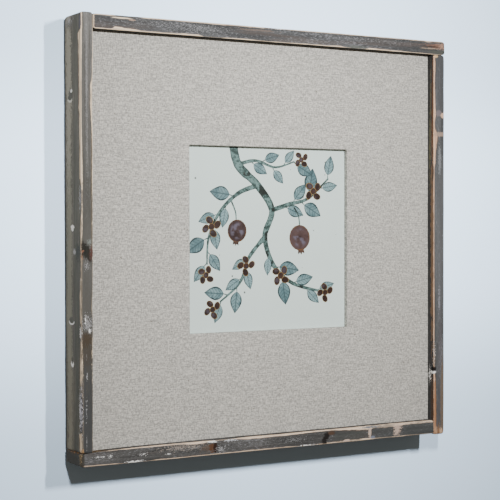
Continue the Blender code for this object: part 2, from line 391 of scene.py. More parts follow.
def wood_group():
    """Weathered wood read along a board: silvery streaks, stains, arrises worn to raw wood, painted
    shade inside.
    """
    tree, given, found = new_group(
        "weathered_wood",
        {
            "Place": ("Vector", None),
            "Board": ("Float", 0.0),
            "Outer Wear": ("Vector", (0.001, 0.001, 0)),
            "Inner Wear": ("Vector", (0.001, 0.001, 0)),
            "Pale": ("Color", (0.2, 0.2, 0.19, 1)),
            "Dark": ("Color", (0.05, 0.05, 0.045, 1)),
            "Blush": ("Color", (0.13, 0.1, 0.09, 1)),
            "Raw": ("Color", (0.66, 0.5, 0.38, 1)),
            "Rust": ("Color", (0.24, 0.1, 0.04, 1)),
            "Outer Tint": ("Color", (1, 1, 1, 1)),
            "Inner Dark": ("Float", 0.4),
            "Speckle": ("Float", 0.5),
            "Grit": ("Float", 0.3),
            "First End": ("Float", 0.0),
        },
        {"Color": "Color", "Height": "Float"},
    )
    jump = add_node(tree, "CombineXYZ", {"X": given["Board"], "Y": given["Board"], "Z": 0.37})
    place = vector_calc(tree, "ADD", given["Place"], jump.outputs[0])
    split = add_node(tree, "SeparateXYZ", {"Vector": given["Place"]})
    run, depth, face = split.outputs

    streak = cloud(tree, place, (15, 400, 400), 4.0, 0.65)
    zone = cloud(tree, place, (13, 90, 90), 3.0, 0.55, (3.1, 1.7, 0.2))
    fibre = cloud(tree, place, (90, 2600, 2600), 3.0, 0.6)
    lint = cloud(tree, place, (420, 1300, 1300), 3.0, 0.65, (0.4, 2.2, 5.0))
    tone = calc(tree, "ADD", around_zero(tree, streak, 0.55), around_zero(tree, zone, 0.4))
    tone = weighted(tree, (tone, 1.0), (around_zero(tree, lint, 1.0), given["Grit"]))
    patina = tint(tree, ramp(tree, tone, -0.13, 0.13), given["Dark"], given["Pale"])
    warm = cloud(tree, place, (10, 150, 150), 2.0, 0.5, (6.3, 2.9, 1.2))
    patina = tint(tree, ramp(tree, warm, 0.5, 0.68, 0.0, 0.6), patina, given["Blush"])
    crack = ramp(tree, fibre, 0.3, 0.44, 0.45, 1.0)
    patina = tint(tree, 1.0, patina, grey(tree, crack), "MULTIPLY")
    sparkle = cloud(tree, place, (300, 1200, 1200), 2.0, 0.7, (1.4, 0.2, 7.0))
    gathered = calc(tree, "ADD", sparkle, around_zero(tree, zone, 0.5))
    sparkle = calc(tree, "MULTIPLY", ramp(tree, gathered, 0.56, 0.68), given["Speckle"])
    patina = tint(tree, sparkle, patina, (0.36, 0.36, 0.39, 1))

    on_outer = ramp(tree, face, BOARD_FACE - OUTER_BLEND, BOARD_FACE - OUTER_EDGE)
    patina = tint(tree, on_outer, patina, tint(tree, 1.0, patina, given["Outer Tint"], "MULTIPLY"))
    # Painted shade: the inner faces round the opening are darkened, near black under the top rail, where
    # they lie in shade.
    in_rabbet = ramp(tree, depth, 0.0, INNER_SHADE_BLEND)
    on_inner = calc(tree, "MULTIPLY", ramp(tree, face, INNER_BLEND, 0.0), in_rabbet)
    inner_painted_shade = calc(tree, "MULTIPLY", on_inner, given["Inner Dark"])
    patina = tint(tree, inner_painted_shade, patina, (0.012, 0.011, 0.008, 1))

    quick = around_zero(tree, cloud(tree, place, (70, 420, 420), 4.0, 0.65, (7.0, 0.1, 3.3)), 1.7)

    def worn_share(distance, reaches):
        """How far a point is out of an arris's worn band, where 1 is the band's edge."""
        parts = add_node(tree, "SeparateXYZ", {"Vector": reaches}).outputs
        over_front = calc(tree, "DIVIDE", distance, calc(tree, "MAXIMUM", parts["X"], LEAST_WEAR))
        over_side = calc(tree, "DIVIDE", depth, calc(tree, "MAXIMUM", parts["Y"], LEAST_WEAR))
        share = calc(tree, "ADD", over_front, over_side)
        return weighted(tree, (share, 1.0), (quick, calc(tree, "MINIMUM", share, 1.0)))

    outer_share = worn_share(calc(tree, "SUBTRACT", BOARD_FACE, face), given["Outer Wear"])
    inner_share = worn_share(face, given["Inner Wear"])
    end_reach = calc(tree, "ADD", calc(tree, "MULTIPLY", given["First End"], MM), LEAST_END)
    end_share = calc(tree, "DIVIDE", calc(tree, "ADD", depth, run), end_reach)
    end_share = calc(tree, "ADD", end_share, quick)
    nearest = calc(tree, "MINIMUM", calc(tree, "MINIMUM", outer_share, inner_share), end_share)
    bare = ramp(tree, nearest, 1.12, 0.88)
    halo = ramp(tree, nearest, 1.6, 1.1, 0.0, 0.35)
    stained = tint(tree, halo, patina, given["Rust"])
    raw_grain = cloud(tree, place, (36, 700, 700), 3.0, 0.6, (4.0, 4.0, 1.0))
    raw_shade = tint(tree, 0.45, given["Raw"], given["Rust"])
    raw = tint(tree, ramp(tree, raw_grain, 0.34, 0.56), raw_shade, given["Raw"])
    plug(tree, found["Color"], tint(tree, bare, stained, raw))
    plug(tree, found["Height"], weighted(tree, (streak, 0.5), (fibre, 0.5)))
    return tree


ragged_patch = patch_group()
weathered_wood = wood_group()

RAW_CREAM = (0.8, 0.65, 0.48, 1)
RAW_PEACH = (0.62, 0.41, 0.28, 1)
RAW_ORANGE = (0.27, 0.125, 0.055, 1)
BROWN = (0.13, 0.07, 0.035, 1)
DARK_BROWN = (0.03, 0.018, 0.012, 1)
MID_GREY = (0.11, 0.11, 0.105, 1)
SIDE_GREY = (0.085, 0.083, 0.068, 1)
OLD_WHITE = (0.85, 0.85, 0.84, 1)
SILVER = (0.34, 0.34, 0.35, 1)


def board_finish(name, number, values, marks):
    """The finish of one board, with its own knots, stains and scraps of paint."""
    material, tree, shader = new_finish(name, 0.82, {"Specular IOR Level": 0.25})
    inputs = {"Board": number * BOARD_JUMP, **values}
    for label, attribute in (
        ("Place", "board_place"),
        ("Outer Wear", "outer_wear"),
        ("Inner Wear", "inner_wear"),
    ):
        noted = add_node(tree, "Attribute", attribute_name=attribute)
        inputs[label] = noted.outputs["Vector"]
    wood = add_node(tree, "Group", inputs, node_tree=weathered_wood)
    color = wood.outputs["Color"]
    for centre, reach, ragged, broken, strength, shade in marks:
        patch = {
            "Place": inputs["Place"],
            "Centre": Vector(centre) * MM,
            "Reach": Vector(reach) * MM,
            "Ragged": ragged,
            "Broken": broken,
        }
        mask = add_node(tree, "Group", patch, node_tree=ragged_patch).outputs["Mask"]
        color = tint(tree, calc(tree, "MULTIPLY", mask, strength), color, shade)
    plug(tree, shader.inputs["Base Color"], color)
    relief(tree, shader, wood.outputs["Height"], WOOD_BUMP, 0.7)
    return material


# For each board, in millimetres: its way round the frame in quarter turns; how much fuller its
# face is at its start and end; how far its start is trimmed and its end stands proud; along it,
# how far its outer and inner front arrises are worn over the front and over the side; the
# corners knocked off it; and its marks, each with a centre and a reach along it, in depth and
# across its face, then how ragged, how broken and how strong it is, and its colour.
RUN, DEPTH, FACE = 0, 1, 2
BOARDS = {}
BOARDS["top_rail"] = {
    "turn": 0,
    "fuller": (0.8, 1.2),
    "trimmed": -0.9,
    "proud": 1.0,
    "outer_band": [(0, 0.9, 0.5), (40, 0.9, 0.5), (170, 1.0, 0.5), (200, 0.7, 0.5), (366, 0.7, 0.5),
                   (371, 1.8, 1.6), (377, 0.8, 0.6), (393, 0.6, 0.5)],
    "inner_band": [(0, 0.7, 0.4), (18, 0.8, 0.4), (21, 2.2, 0.5), (27, 2.5, 0.5), (32, 1.5, 0.5),
                   (38, 2.4, 0.5), (46, 1.0, 0.4), (71, 0.8, 0.4), (92, 1.2, 0.5), (109, 1.4, 0.5),
                   (111, 0.1, 0.1), (130, 0.1, 0.1), (133, 0.6, 0.4), (156, 0.9, 0.4), (172, 0.4, 0.3),
                   (190, 0.4, 0.3), (210, 0.6, 0.4), (246, 0.8, 0.4), (264, 1.2, 0.5), (269, 0.9, 0.4),
                   (271, 0.1, 0.1), (294, 0.1, 0.1), (297, 1.3, 0.4), (331, 0.9, 0.4), (355, 0.5, 0.3),
                   (376, 0.4, 0.3), (393, 0.1, 0.1)],
    "knocks": [(RUN, 1, 4.4 * MM, FACE, 1, 3.8 * MM), (RUN, 1, 4 * MM, FACE, 0, 3.6 * MM)],
    "values": {
        "Pale": (0.084, 0.086, 0.088, 1),
        "Dark": (0.04, 0.041, 0.042, 1),
        "Blush": (0.088, 0.073, 0.066, 1),
        "Raw": RAW_CREAM,
        "Rust": (0.26, 0.17, 0.13, 1),
        "Inner Dark": 1.0,
        "Speckle": 0.3,
        "Grit": 0.5,
        "First End": 0.9,
    },
    "marks": [
        ((384, 0, 8), (20, 20, 3.4), 0.9, 0.7, 0.75, (0.19, 0.1, 0.07, 1)),
        ((389, 0, 8), (7, 20, 4), 0.8, 1.1, 0.75, (0.4, 0.24, 0.17, 1)),
        ((374, 0, 7.2), (15, 4, 0.7), 0.6, 0.2, 0.8, DARK_BROWN),
        ((372, 0, 5.4), (14, 4, 0.6), 0.6, 0.4, 0.6, (0.4, 0.3, 0.22, 1)),
        ((386, 0, 2.6), (16, 4, 1.9), 0.5, 0.3, 0.8, (0.06, 0.065, 0.055, 1)),
        ((283, 0, 1.2), (13, 4, 1.6), 0.6, 0.4, 0.7, (0.1, 0.11, 0.095, 1)),
        ((27, 0, 10.5), (11, 3, 0.6), 0.3, 0.1, 0.95, RAW_CREAM),
        ((33, 0, 12.4), (15, 3, 1.2), 0.3, 0.1, 0.95, (0.06, 0.062, 0.06, 1)),
        ((38, 0, 9.4), (4, 3, 0.9), 0.4, 0.3, 0.8, (0.4, 0.27, 0.2, 1)),
        ((170, 0, 9.4), (26, 3, 1.0), 0.9, 0.5, 0.6, (0.17, 0.12, 0.095, 1)),
        ((176, 0, 6.4), (28, 3, 1.2), 0.9, 0.5, 0.5, (0.055, 0.046, 0.042, 1)),
        ((350, 0, 7.5), (24, 3, 2.0), 0.9, 0.3, 0.3, (0.13, 0.1, 0.09, 1)),
        ((112, 0, 7), (26, 3, 3.6), 0.4, 2.3, 0.42, SILVER),
        ((70, 0, 8), (24, 3, 2.6), 0.4, 2.5, 0.32, SILVER),
        ((283, 0, 9), (26, 3, 2.2), 0.4, 1.9, 0.28, SILVER),
        ((325, 0, 8.5), (20, 3, 2), 0.4, 2.0, 0.3, SILVER),
        ((190, 0, 12.5), (14, 3, 0.9), 0.3, 0.9, 1.0, OLD_WHITE),
        ((183, 0, 12.4), (9, 3, 0.7), 0.3, 0.9, 1.0, DARK_BROWN),
    ],
}
BOARDS["right_stile"] = {
    "turn": 1,
    "fuller": (0.8, 0.4),
    "trimmed": 0.9,
    "proud": 1.3,
    "outer_band": [(0, 0.5, 0.4), (58, 0.5, 0.4), (62, 1.6, 0.8), (66, 0.5, 0.4), (325, 0.3, 0.3),
                   (345, 0.8, 0.4), (393, 1.0, 0.5)],
    "inner_band": [(0, 2.6, 1.0), (3, 1.5, 1.0), (10, 1.9, 1.0), (20, 1.3, 0.7), (50, 1.3, 0.8),
                   (61, 2.8, 0.9), (68, 1.2, 1.0), (76, 1.5, 1.2), (83, 4.0, 1.4), (92, 3.4, 1.4),
                   (100, 2.4, 1.4), (113, 1.5, 1.4), (117, 0.7, 0.2), (127, 0.7, 0.2),
                   (130, 0.6, 1.7), (200, 0.6, 1.8), (280, 0.6, 1.6), (300, 0.3, 0.8),
                   (320, 0.3, 0.6), (332, 1.4, 0.5), (350, 1.7, 0.5), (375, 2.1, 0.6),
                   (393, 4.4, 1.6)],
    "knocks": [(RUN, 0, 2.6 * MM, FACE, 1, 2.6 * MM), (RUN, 1, 2.2 * MM, FACE, 1, 2.4 * MM)],
    "values": {
        "Pale": (0.094, 0.096, 0.099, 1),
        "Dark": (0.053, 0.055, 0.056, 1),
        "Blush": (0.088, 0.08, 0.086, 1),
        "Raw": RAW_PEACH,
        "Rust": (0.15, 0.075, 0.04, 1),
        "Inner Dark": 0.45,
        "Speckle": 0.2,
        "Grit": 0.2,
    },
    "marks": [
        ((28, 0, 7.4), (32, 3, 6), 0.3, 0.1, 0.55, (0.058, 0.06, 0.063, 1)),
        ((190, 0, 7), (90, 3, 8), 0.5, 0.1, 0.4, (0.11, 0.112, 0.116, 1)),
        ((1, 0, 2.6), (2.6, 3, 3), 0.4, 0.2, 0.8, (0.62, 0.42, 0.22, 1)),
        ((60.5, 0, 6), (3.6, 3, 4), 0.4, 0.2, 0.8, (0.16, 0.135, 0.14, 1)),
        ((62.5, 0, 11), (3, 3, 3.4), 0.3, 0.3, 0.85, RAW_PEACH),
        ((82, 0, 7.5), (2.6, 3, 7), 0.5, 0.3, 0.8, (0.32, 0.23, 0.18, 1)),
        ((108, 0, 7), (20, 3, 2.2), 0.5, 0.7, 0.6, (0.22, 0.23, 0.24, 1)),
        ((254, 0, 6.5), (18, 3, 1.6), 0.5, 0.8, 0.6, (0.25, 0.25, 0.28, 1)),
        ((366, 0, 1.4), (36, 0.9, 1.8), 0.3, 0.2, 0.8, RAW_ORANGE),
        ((362, 3, 0), (34, 2.6, 1.6), 0.4, 0.3, 0.75, (0.075, 0.04, 0.022, 1)),
        ((362, 0, 11.2), (56, 3, 3.2), 0.4, 0.2, 0.85, (0.135, 0.098, 0.072, 1)),
        ((312, 0, 0.8), (16, 4, 1.2), 0.5, 0.6, 0.8, (0.2, 0.14, 0.1, 1)),
        ((393, 0, 6), (9, 3, 7), 0.8, 0.4, 0.85, (0.36, 0.21, 0.12, 1)),
        ((393, 0, 9), (8, 3, 1.6), 0.6, 0.3, 0.7, (0.5, 0.36, 0.25, 1)),
        ((392, 0, 5.6), (12, 3, 1), 0.6, 0.3, 0.7, BROWN),
        ((200, 3.4, 0), (120, 2.6, 2), 0.8, 0.3, 0.85, (0.2, 0.12, 0.07, 1)),
        ((60, 2.4, 0), (66, 1.6, 2), 0.6, 0.3, 0.8, (0.15, 0.07, 0.035, 1)),
        ((60, 5.6, 0), (60, 0.9, 2), 0.8, 0.4, 0.7, (0.16, 0.14, 0.08, 1)),
        ((100, 7, 0), (45, 1.4, 2), 0.8, 0.5, 0.7, (0.15, 0.14, 0.08, 1)),
        ((308, 0.5, 0.7), (13, 1.6, 1.2), 0.5, 1.5, 0.8, (0.6, 0.55, 0.52, 1)),
        ((328.2, 2, 0.3), (1.9, 4.8, 3.2), 0.4, 0.2, 1.0, OLD_WHITE),
        ((331, 7, 0), (9, 2.4, 2), 0.4, 1.0, 0.9, OLD_WHITE),
        ((325, 1.6, 1), (2.9, 3.2, 2.2), 0.5, 0.1, 1.0, (0.004, 0.003, 0.003, 1)),
    ],
}
BOARDS["bottom_rail"] = {
    "turn": 2,
    "fuller": (1.3, 1.0),
    "trimmed": -0.4,
    "proud": 1.0,
    "outer_band": [(0, 0.9, 0.5), (60, 1.1, 0.6), (109, 1.8, 0.6), (125, 1.1, 0.6), (140, 0.6, 0.4),
                   (170, 0.4, 0.3), (176, 1.0, 0.5), (320, 0.9, 0.5), (327, 0.3, 0.3), (355, 0.4, 0.3),
                   (361, 1.0, 0.5), (393, 1.1, 0.6)],
    "inner_band": [(0, 1.7, 2.5), (24, 1.9, 2.5), (37, 1.7, 2.5), (43, 2.4, 2.5), (53, 2.8, 2.5),
                   (62, 2.6, 2.4), (74, 2.2, 2.4), (86, 3.0, 2.4), (99, 2.4, 2.4), (111, 1.7, 2.4),
                   (123, 0.8, 2.0), (134, 0.7, 1.8), (146, 0.8, 2.2), (158, 1.0, 2.4), (181, 1.5, 2.6),
                   (203, 1.5, 2.6), (226, 1.6, 2.6), (232, 1.0, 2.4), (235, 0.3, 0.4), (262, 0.3, 0.4),
                   (266, 1.0, 2.0), (275, 1.7, 2.4), (290, 1.2, 2.4), (300, 0.8, 2.4), (331, 0.6, 2.2),
                   (361, 0.6, 2.0), (385, 0.6, 1.8), (393, 0.8, 1.8)],
    "knocks": [(RUN, 0, 3.2 * MM, FACE, 0, 3.2 * MM), (RUN, 1, 1.2 * MM, FACE, 1, 1.6 * MM),
               (RUN, 1, 4 * MM, DEPTH, 1, 6 * MM), (RUN, 1, 90 * MM, FACE, 0, 2.2 * MM)],
    "values": {
        "Pale": (0.094, 0.092, 0.09, 1),
        "Dark": (0.04, 0.04, 0.039, 1),
        "Blush": (0.075, 0.062, 0.057, 1),
        "Raw": (0.74, 0.58, 0.44, 1),
        "Rust": (0.13, 0.08, 0.055, 1),
        "Inner Dark": 0.35,
        "Speckle": 0.3,
        "Grit": 0.35,
    },
    "marks": [
        ((64, 0, 7), (20, 3, 9), 0.5, 0.1, 0.6, (0.046, 0.052, 0.053, 1)),
        ((20, 0, 8), (24, 3, 9), 0.5, 0.1, 0.6, (0.046, 0.052, 0.053, 1)),
        ((105, 0, 7.5), (22, 3, 5), 0.5, 0.1, 0.6, (0.05, 0.054, 0.05, 1)),
        ((377.5, 0, 5.2), (3.4, 3, 0.8), 0.3, 1.5, 0.9, OLD_WHITE),
        ((371.5, 0, 5.4), (1.8, 3, 0.7), 0.3, 1.0, 0.8, OLD_WHITE),
        ((365, 0, 5.4), (2.2, 3, 1.3), 0.3, 1.6, 0.8, OLD_WHITE),
        ((332.5, 0, 6.2), (3.6, 3, 1.2), 0.3, 1.9, 0.7, OLD_WHITE),
        ((306.5, 0, 8), (3, 3, 0.8), 0.3, 1.0, 0.9, OLD_WHITE),
        ((290, 0, 3.5), (26, 3, 3), 0.6, 1.5, 0.72, (0.34, 0.29, 0.25, 1)),
        ((341, 0, 12), (11, 3, 1.2), 0.3, 0.7, 1.0, OLD_WHITE),
        ((265, 0, 6), (8, 3, 4.6), 0.9, 0.6, 0.6, (0.1, 0.064, 0.042, 1)),
        ((260.6, 0, 6.2), (4, 3, 4.4), 0.6, 0.2, 0.85, (0.085, 0.036, 0.015, 1)),
        ((257.6, 0, 6.2), (2.2, 3.4, 5), 0.5, 0.1, 0.95, (0.02, 0.008, 0.004, 1)),
        ((251, 0, 8), (6, 3, 3), 0.4, 1.6, 0.9, SILVER),
        ((261, 0, 1), (6, 2.4, 1.1), 0.3, 0.5, 1.0, OLD_WHITE),
        ((242, 0, 1), (9, 2.4, 1.3), 0.3, 1.0, 0.9, (0.55, 0.57, 0.6, 1)),
        ((155, 0, 12.3), (12, 3, 0.8), 0.3, 0.9, 1.0, OLD_WHITE),
        ((170, 0, 6), (16, 3, 2.4), 0.5, 1.6, 0.35, SILVER),
        ((135.5, 0, 9.4), (3.6, 4, 3.6), 0.4, 0.3, 0.95, (0.008, 0.006, 0.005, 1)),
        ((132.5, 0, 5.4), (3.6, 4, 3.6), 0.4, 0.3, 0.95, (0.008, 0.006, 0.005, 1)),
        ((127, 0, 3), (4.4, 4, 2.4), 0.4, 0.2, 0.8, (0.07, 0.035, 0.018, 1)),
        ((81, 0, 5), (1.9, 3, 6.5), 0.8, 0.3, 0.85, (0.55, 0.42, 0.34, 1)),
        ((109, 0, 12), (5, 3, 2), 0.4, 0.3, 0.9, (0.55, 0.42, 0.34, 1)),
        ((77.5, 0, 10.5), (3, 3, 1.5), 0.4, 0.3, 0.8, (0.17, 0.19, 0.25, 1)),
        ((81, 0, 0.8), (15, 3, 1.2), 0.5, 0.4, 0.95, (0.14, 0.155, 0.175, 1)),
        ((47, 0, 5), (5.6, 3, 7.4), 0.6, 0.6, 0.9, (0.5, 0.38, 0.31, 1)),
        ((393, 20, 6.3), (3, 40, 20), 0.3, 0.0, 0.88, (0.036, 0.032, 0.024, 1)),
        ((393.4, 16, 1), (2, 16, 1.8), 0.5, 1.3, 0.9, (0.26, 0.12, 0.04, 1)),
        ((393.4, 2, 5), (1.2, 3, 6), 0.5, 1.3, 0.8, (0.4, 0.28, 0.15, 1)),
    ],
}
BOARDS["left_stile"] = {
    "turn": 3,
    "fuller": (-2.2, -0.8),
    "trimmed": -0.9,
    "proud": 1.0,
    "outer_band": [(0, 1.6, 5.0), (17, 1.7, 5.5), (19, 1.9, 0.3), (52, 1.9, 0.3), (57, 2.2, 1.4),
                   (66, 2.5, 4.2), (75, 1.7, 4.0), (93, 0.8, 3.4), (101, 0.7, 2.6), (104, 0.3, 0.3),
                   (112, 0.3, 0.3), (115, 0.4, 3.0), (128, 0.4, 3.6), (146, 0.6, 2.8), (171, 0.7, 1.5),
                   (191, 0.8, 2.3), (204, 1.1, 2.9), (213, 1.4, 0.5), (222, 1.3, 0.3), (240, 1.3, 0.5),
                   (244, 1.3, 3.4), (254, 1.2, 3.7), (280, 0.6, 3.5), (316, 0.5, 4.3), (352, 0.7, 4.8),
                   (364, 1.0, 5.6), (375, 1.0, 6.0), (378, 1.2, 0.4), (393, 1.2, 0.4)],
    "inner_band": [(0, 1.2, 0.6), (12, 1.2, 0.6), (60, 1.4, 0.6), (78, 2.2, 0.8), (95, 1.4, 0.6),
                   (106, 0.9, 0.5), (118, 0.3, 0.3), (124, 1.4, 1.0), (132, 2.2, 2.0), (138, 1.0, 0.8),
                   (160, 1.2, 0.6), (200, 1.2, 0.5), (290, 1.0, 0.5), (299, 2.0, 1.6), (312, 2.9, 2.4),
                   (328, 2.6, 2.2), (338, 0.9, 0.6), (370, 0.6, 0.4), (393, 0.6, 0.4)],
    "knocks": [(RUN, 1, 5.5 * MM, DEPTH, 1, 10 * MM), (RUN, 1, 1.6 * MM, FACE, 1, 4.4 * MM),
               (RUN, 1, 1.4 * MM, FACE, 0, 2.4 * MM)],
    "values": {
        "Pale": (0.15, 0.146, 0.136, 1),
        "Dark": (0.062, 0.061, 0.056, 1),
        "Blush": (0.12, 0.106, 0.11, 1),
        "Raw": RAW_CREAM,
        "Rust": (0.16, 0.12, 0.085, 1),
        "Outer Tint": (1.05, 1.0, 0.86, 1),
        "Inner Dark": 0.3,
        "Speckle": 0.12,
        "Grit": 0.15,
    },
    "marks": [
        ((30, 0, 6), (80, 3, 9), 0.4, 0.1, 0.9, (0.041, 0.043, 0.044, 1)),
        ((150, 0, 6), (100, 3, 10), 0.6, 0.1, 0.75, (0.06, 0.058, 0.051, 1)),
        ((320, 0, 3.6), (90, 3, 1.3), 0.4, 0.3, 0.5, (0.075, 0.07, 0.062, 1)),
        ((300, 0, 10.4), (110, 3, 1.5), 0.4, 0.3, 0.45, (0.075, 0.07, 0.062, 1)),
        ((326, 0, 6.8), (90, 3, 1.2), 0.5, 0.9, 0.28, SILVER),
        ((40, 0, 7.6), (10, 3, 0.9), 0.3, 1.6, 0.75, SILVER),
        ((9, 0, 7.6), (7, 3, 0.7), 0.3, 1.6, 0.6, SILVER),
        ((88, 0, 7.4), (5, 3, 0.6), 0.3, 1.2, 0.6, SILVER),
        ((2, 1, 12.2), (2.6, 3, 1.8), 0.5, 0.5, 0.85, (0.42, 0.25, 0.12, 1)),
        ((69, 0, 7), (4, 3, 0.9), 0.3, 0.9, 0.9, SILVER),
        ((240, 0, 1.9), (64, 3, 0.6), 0.3, 0.1, 0.8, (0.085, 0.068, 0.045, 1)),
        ((180, 9, 12.7), (11, 5, 3), 0.4, 0.5, 0.85, (0.018, 0.018, 0.015, 1)),
        ((178, 0.5, 12), (8, 1.6, 1.4), 0.4, 0.8, 0.7, (0.3, 0.15, 0.09, 1)),
        ((182.6, 0, 10.4), (7.6, 3.5, 3.6), 0.4, 0.3, 0.92, (0.013, 0.012, 0.009, 1)),
        ((180, 0, 7), (8.6, 3.5, 3.6), 0.4, 0.3, 0.92, (0.014, 0.014, 0.011, 1)),
        ((177, 0, 3.6), (7.8, 3.5, 3.6), 0.4, 0.4, 0.9, (0.02, 0.016, 0.012, 1)),
        ((179, 0, 1.6), (7.4, 4, 3), 0.4, 0.5, 0.8, (0.085, 0.037, 0.03, 1)),
        ((180.6, 0, 11.4), (1.5, 3.5, 1.8), 0.4, 0.4, 0.8, (0.24, 0.11, 0.07, 1)),
        ((168, 0, 7), (5, 3, 3), 0.4, 1.3, 0.6, SILVER),
        ((189, 0, 4), (3, 3, 2.4), 0.4, 1.0, 0.6, (0.26, 0.3, 0.28, 1)),
        ((115, 0, 6), (9, 3, 6), 0.4, 1.3, 0.8, SILVER),
        ((120, 0, 8.5), (4, 3, 1.3), 0.3, 1.1, 1.0, OLD_WHITE),
        ((109, 0, 4), (3, 3, 1.8), 0.3, 0.9, 1.0, OLD_WHITE),
        ((102, 0, 7), (8, 3, 8), 0.7, 0.4, 0.8, (0.05, 0.034, 0.02, 1)),
        ((90, 0, 7), (14, 3, 9), 0.7, 0.5, 0.5, (0.055, 0.042, 0.028, 1)),
        ((197, 28, 12.7), (400, 7, 2), 0.5, 0.4, 0.6, (0.26, 0.25, 0.195, 1)),
        ((330, 29, 12.7), (110, 8, 2), 0.6, 0.4, 0.5, (0.36, 0.34, 0.285, 1)),
        ((197, 12, 12.7), (400, 6.5, 2), 0.5, 0.2, 0.5, (0.06, 0.06, 0.048, 1)),
        # Painted shadow: a near-black band along the back of the outer side, where the frame stands
        # against the wall.
        ((197, 38.6, 12.7), (900, 2.7, 3), 0.2, 0.1, 0.95, (0.012, 0.013, 0.012, 1)),
        ((116.4, 23.5, 12.7), (2.6, 6, 2), 0.2, 0.0, 1.0, OLD_WHITE),
        ((118, 23.5, 12.7), (3, 5.6, 2.4), 0.2, 0.0, 1.0, SIDE_GREY),
        ((78.5, 22, 12.7), (3.6, 3.6, 2), 0.3, 0.3, 1.0, OLD_WHITE),
        ((82, 22, 12.7), (3.6, 1.8, 2.4), 0.2, 0.0, 1.0, SIDE_GREY),
        ((202.3, 20.5, 12.7), (1.9, 4.6, 2), 0.2, 0.2, 1.0, OLD_WHITE),
        ((200.3, 20.8, 12.7), (2.4, 2.8, 2), 0.3, 0.2, 1.0, OLD_WHITE),
        ((321, 25, 12.7), (7, 4.6, 2), 0.3, 0.3, 0.8, (0.05, 0.05, 0.043, 1)),
        ((316.6, 25.5, 12.7), (2.4, 6, 2), 0.2, 0.2, 0.9, (0.62, 0.61, 0.56, 1)),
        ((318.8, 25.5, 12.7), (2.6, 5.2, 2.4), 0.2, 0.1, 1.0, SIDE_GREY),
        ((324.6, 22.6, 12.7), (1.9, 2.6, 2), 0.3, 0.2, 0.9, OLD_WHITE),
        ((386, 28, 12.7), (6, 7, 2), 0.4, 0.9, 0.8, (0.03, 0.03, 0.03, 1)),
        ((388, 27, 12.7), (4, 7, 2), 0.4, 1.5, 0.9, SILVER),
        ((180, 16.5, 12.7), (3.4, 3.2, 2), 0.4, 0.5, 0.9, SILVER),
        ((385, 1.6, 12.7), (8, 2.2, 1.1), 0.3, 0.2, 0.9, (0.09, 0.085, 0.1, 1)),
        ((229, 2, 12.7), (12, 3, 1.1), 0.3, 0.2, 0.9, MID_GREY),
        ((228, 3, 12.7), (12, 2.2, 1), 0.3, 0.9, 0.9, SILVER),
        ((108, 2.6, 12.7), (6, 3, 1.6), 0.3, 0.6, 1.0, (0.72, 0.7, 0.7, 1)),
        ((36, 2, 12.7), (20, 3.4, 1.1), 0.2, 0.1, 0.9, (0.045, 0.045, 0.05, 1)),
        ((38, 3, 12.7), (21, 3.6, 1.5), 0.2, 1.3, 1.0, (0.62, 0.61, 0.66, 1)),
    ],
}

rabbet_half = cad_high.x - BOARD_FACE + RABBET_WIDTH
rabbet_low = Vector((-rabbet_half, cad_low.y + LIP_DEPTH, frame_middle_z - rabbet_half))
rabbet_high = Vector((rabbet_half, cad_high.y, frame_middle_z + rabbet_half))
for number, (node, made) in enumerate(BOARDS.items()):
    low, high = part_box(node)
    board = new_piece(node + "_weathered", low, high)
    run_axis = 0 if made["turn"] % 2 == 0 else 2
    divide(board, run_axis, ALONG_STEP)
    crowd_ends(board, run_axis, low[run_axis], high[run_axis])
    divide(board, 1, DEPTH_STEP)
    divide(board, 2 - run_axis, FACE_STEP)
    cut_away(board, rabbet_low, rabbet_high)
    weather(board, node, made)
    smooth_shade(board)
    board.data.materials.append(board_finish(node + "_wood", number, made["values"], made["marks"]))
    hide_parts(node)
    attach(board, "root")

# The linen mat
# Undyed plain-woven linen with slubs, drawn tight over a card board and into its square
# window, and glued down behind.
WINDOW_SIDE = 0.178
WINDOW_ROUND = 0.0007
LINEN_THICKNESS = 0.0005
LINEN_CUTS = 20
LINEN_WAVE = 0.00009
WAVE_LEVEL = 0.7
WAVES = 45
WARP_PITCH = 0.00062
WEAVE_BUMP = 0.00025
CARD_BUMP = 0.0001
LINEN_DARK = (0.315, 0.307, 0.284, 1)
LINEN_PALE = (0.645, 0.621, 0.567, 1)
HUSK_BROWN = (0.12, 0.1, 0.07, 1)

linen_low, linen_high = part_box("linen_cover")
linen_side = linen_high.x - linen_low.x
return_depth = linen_high.y - linen_low.y


def new_plane(name, size, place, turn=0.0):
    """Start a piece from a square plane, with its place in its mesh."""
    bpy.ops.object.select_all(action="DESELECT")
    bpy.ops.mesh.primitive_plane_add(size=size, location=place, rotation=(turn, 0, 0))
    plane = bpy.context.object
    plane.name = name
    bpy.ops.object.transform_apply(location=True, rotation=True, scale=True)
    return plane


def from_window(point):
    """How far a point is from the middle of the window, along its sides."""
    return max(abs(point.x), abs(point.z - frame_middle_z))


sheet_place = (0, linen_low.y, frame_middle_z)
linen_sheet = new_plane("linen_sheet", linen_side, sheet_place, math.pi / 2)
bpy.ops.object.mode_set(mode="EDIT")
for axis, middle in ((0, 0.0), (2, frame_middle_z)):
    for side in (-1, 1):
        cut_at = Vector(sheet_place)
        cut_at[axis] = middle + side * WINDOW_SIDE / 2
        across = Vector((0, 0, 0))
        across[axis] = 1
        bpy.ops.mesh.select_all(action="SELECT")
        bpy.ops.mesh.bisect(plane_co=cut_at, plane_no=across)
bpy.ops.mesh.select_mode(type="FACE")
bpy.ops.mesh.select_all(action="DESELECT")
cloth = bmesh.from_edit_mesh(linen_sheet.data)
for patch in cloth.faces:
    if from_window(patch.calc_center_median()) < WINDOW_SIDE / 4:
        patch.select_set(True)
bmesh.update_edit_mesh(linen_sheet.data)
bpy.ops.mesh.extrude_region_move(TRANSFORM_OT_translate={"value": (0, return_depth, 0)})
bpy.ops.mesh.delete(type="FACE")
bpy.ops.mesh.select_mode(type="EDGE")
bpy.ops.mesh.select_all(action="DESELECT")
cloth = bmesh.from_edit_mesh(linen_sheet.data)
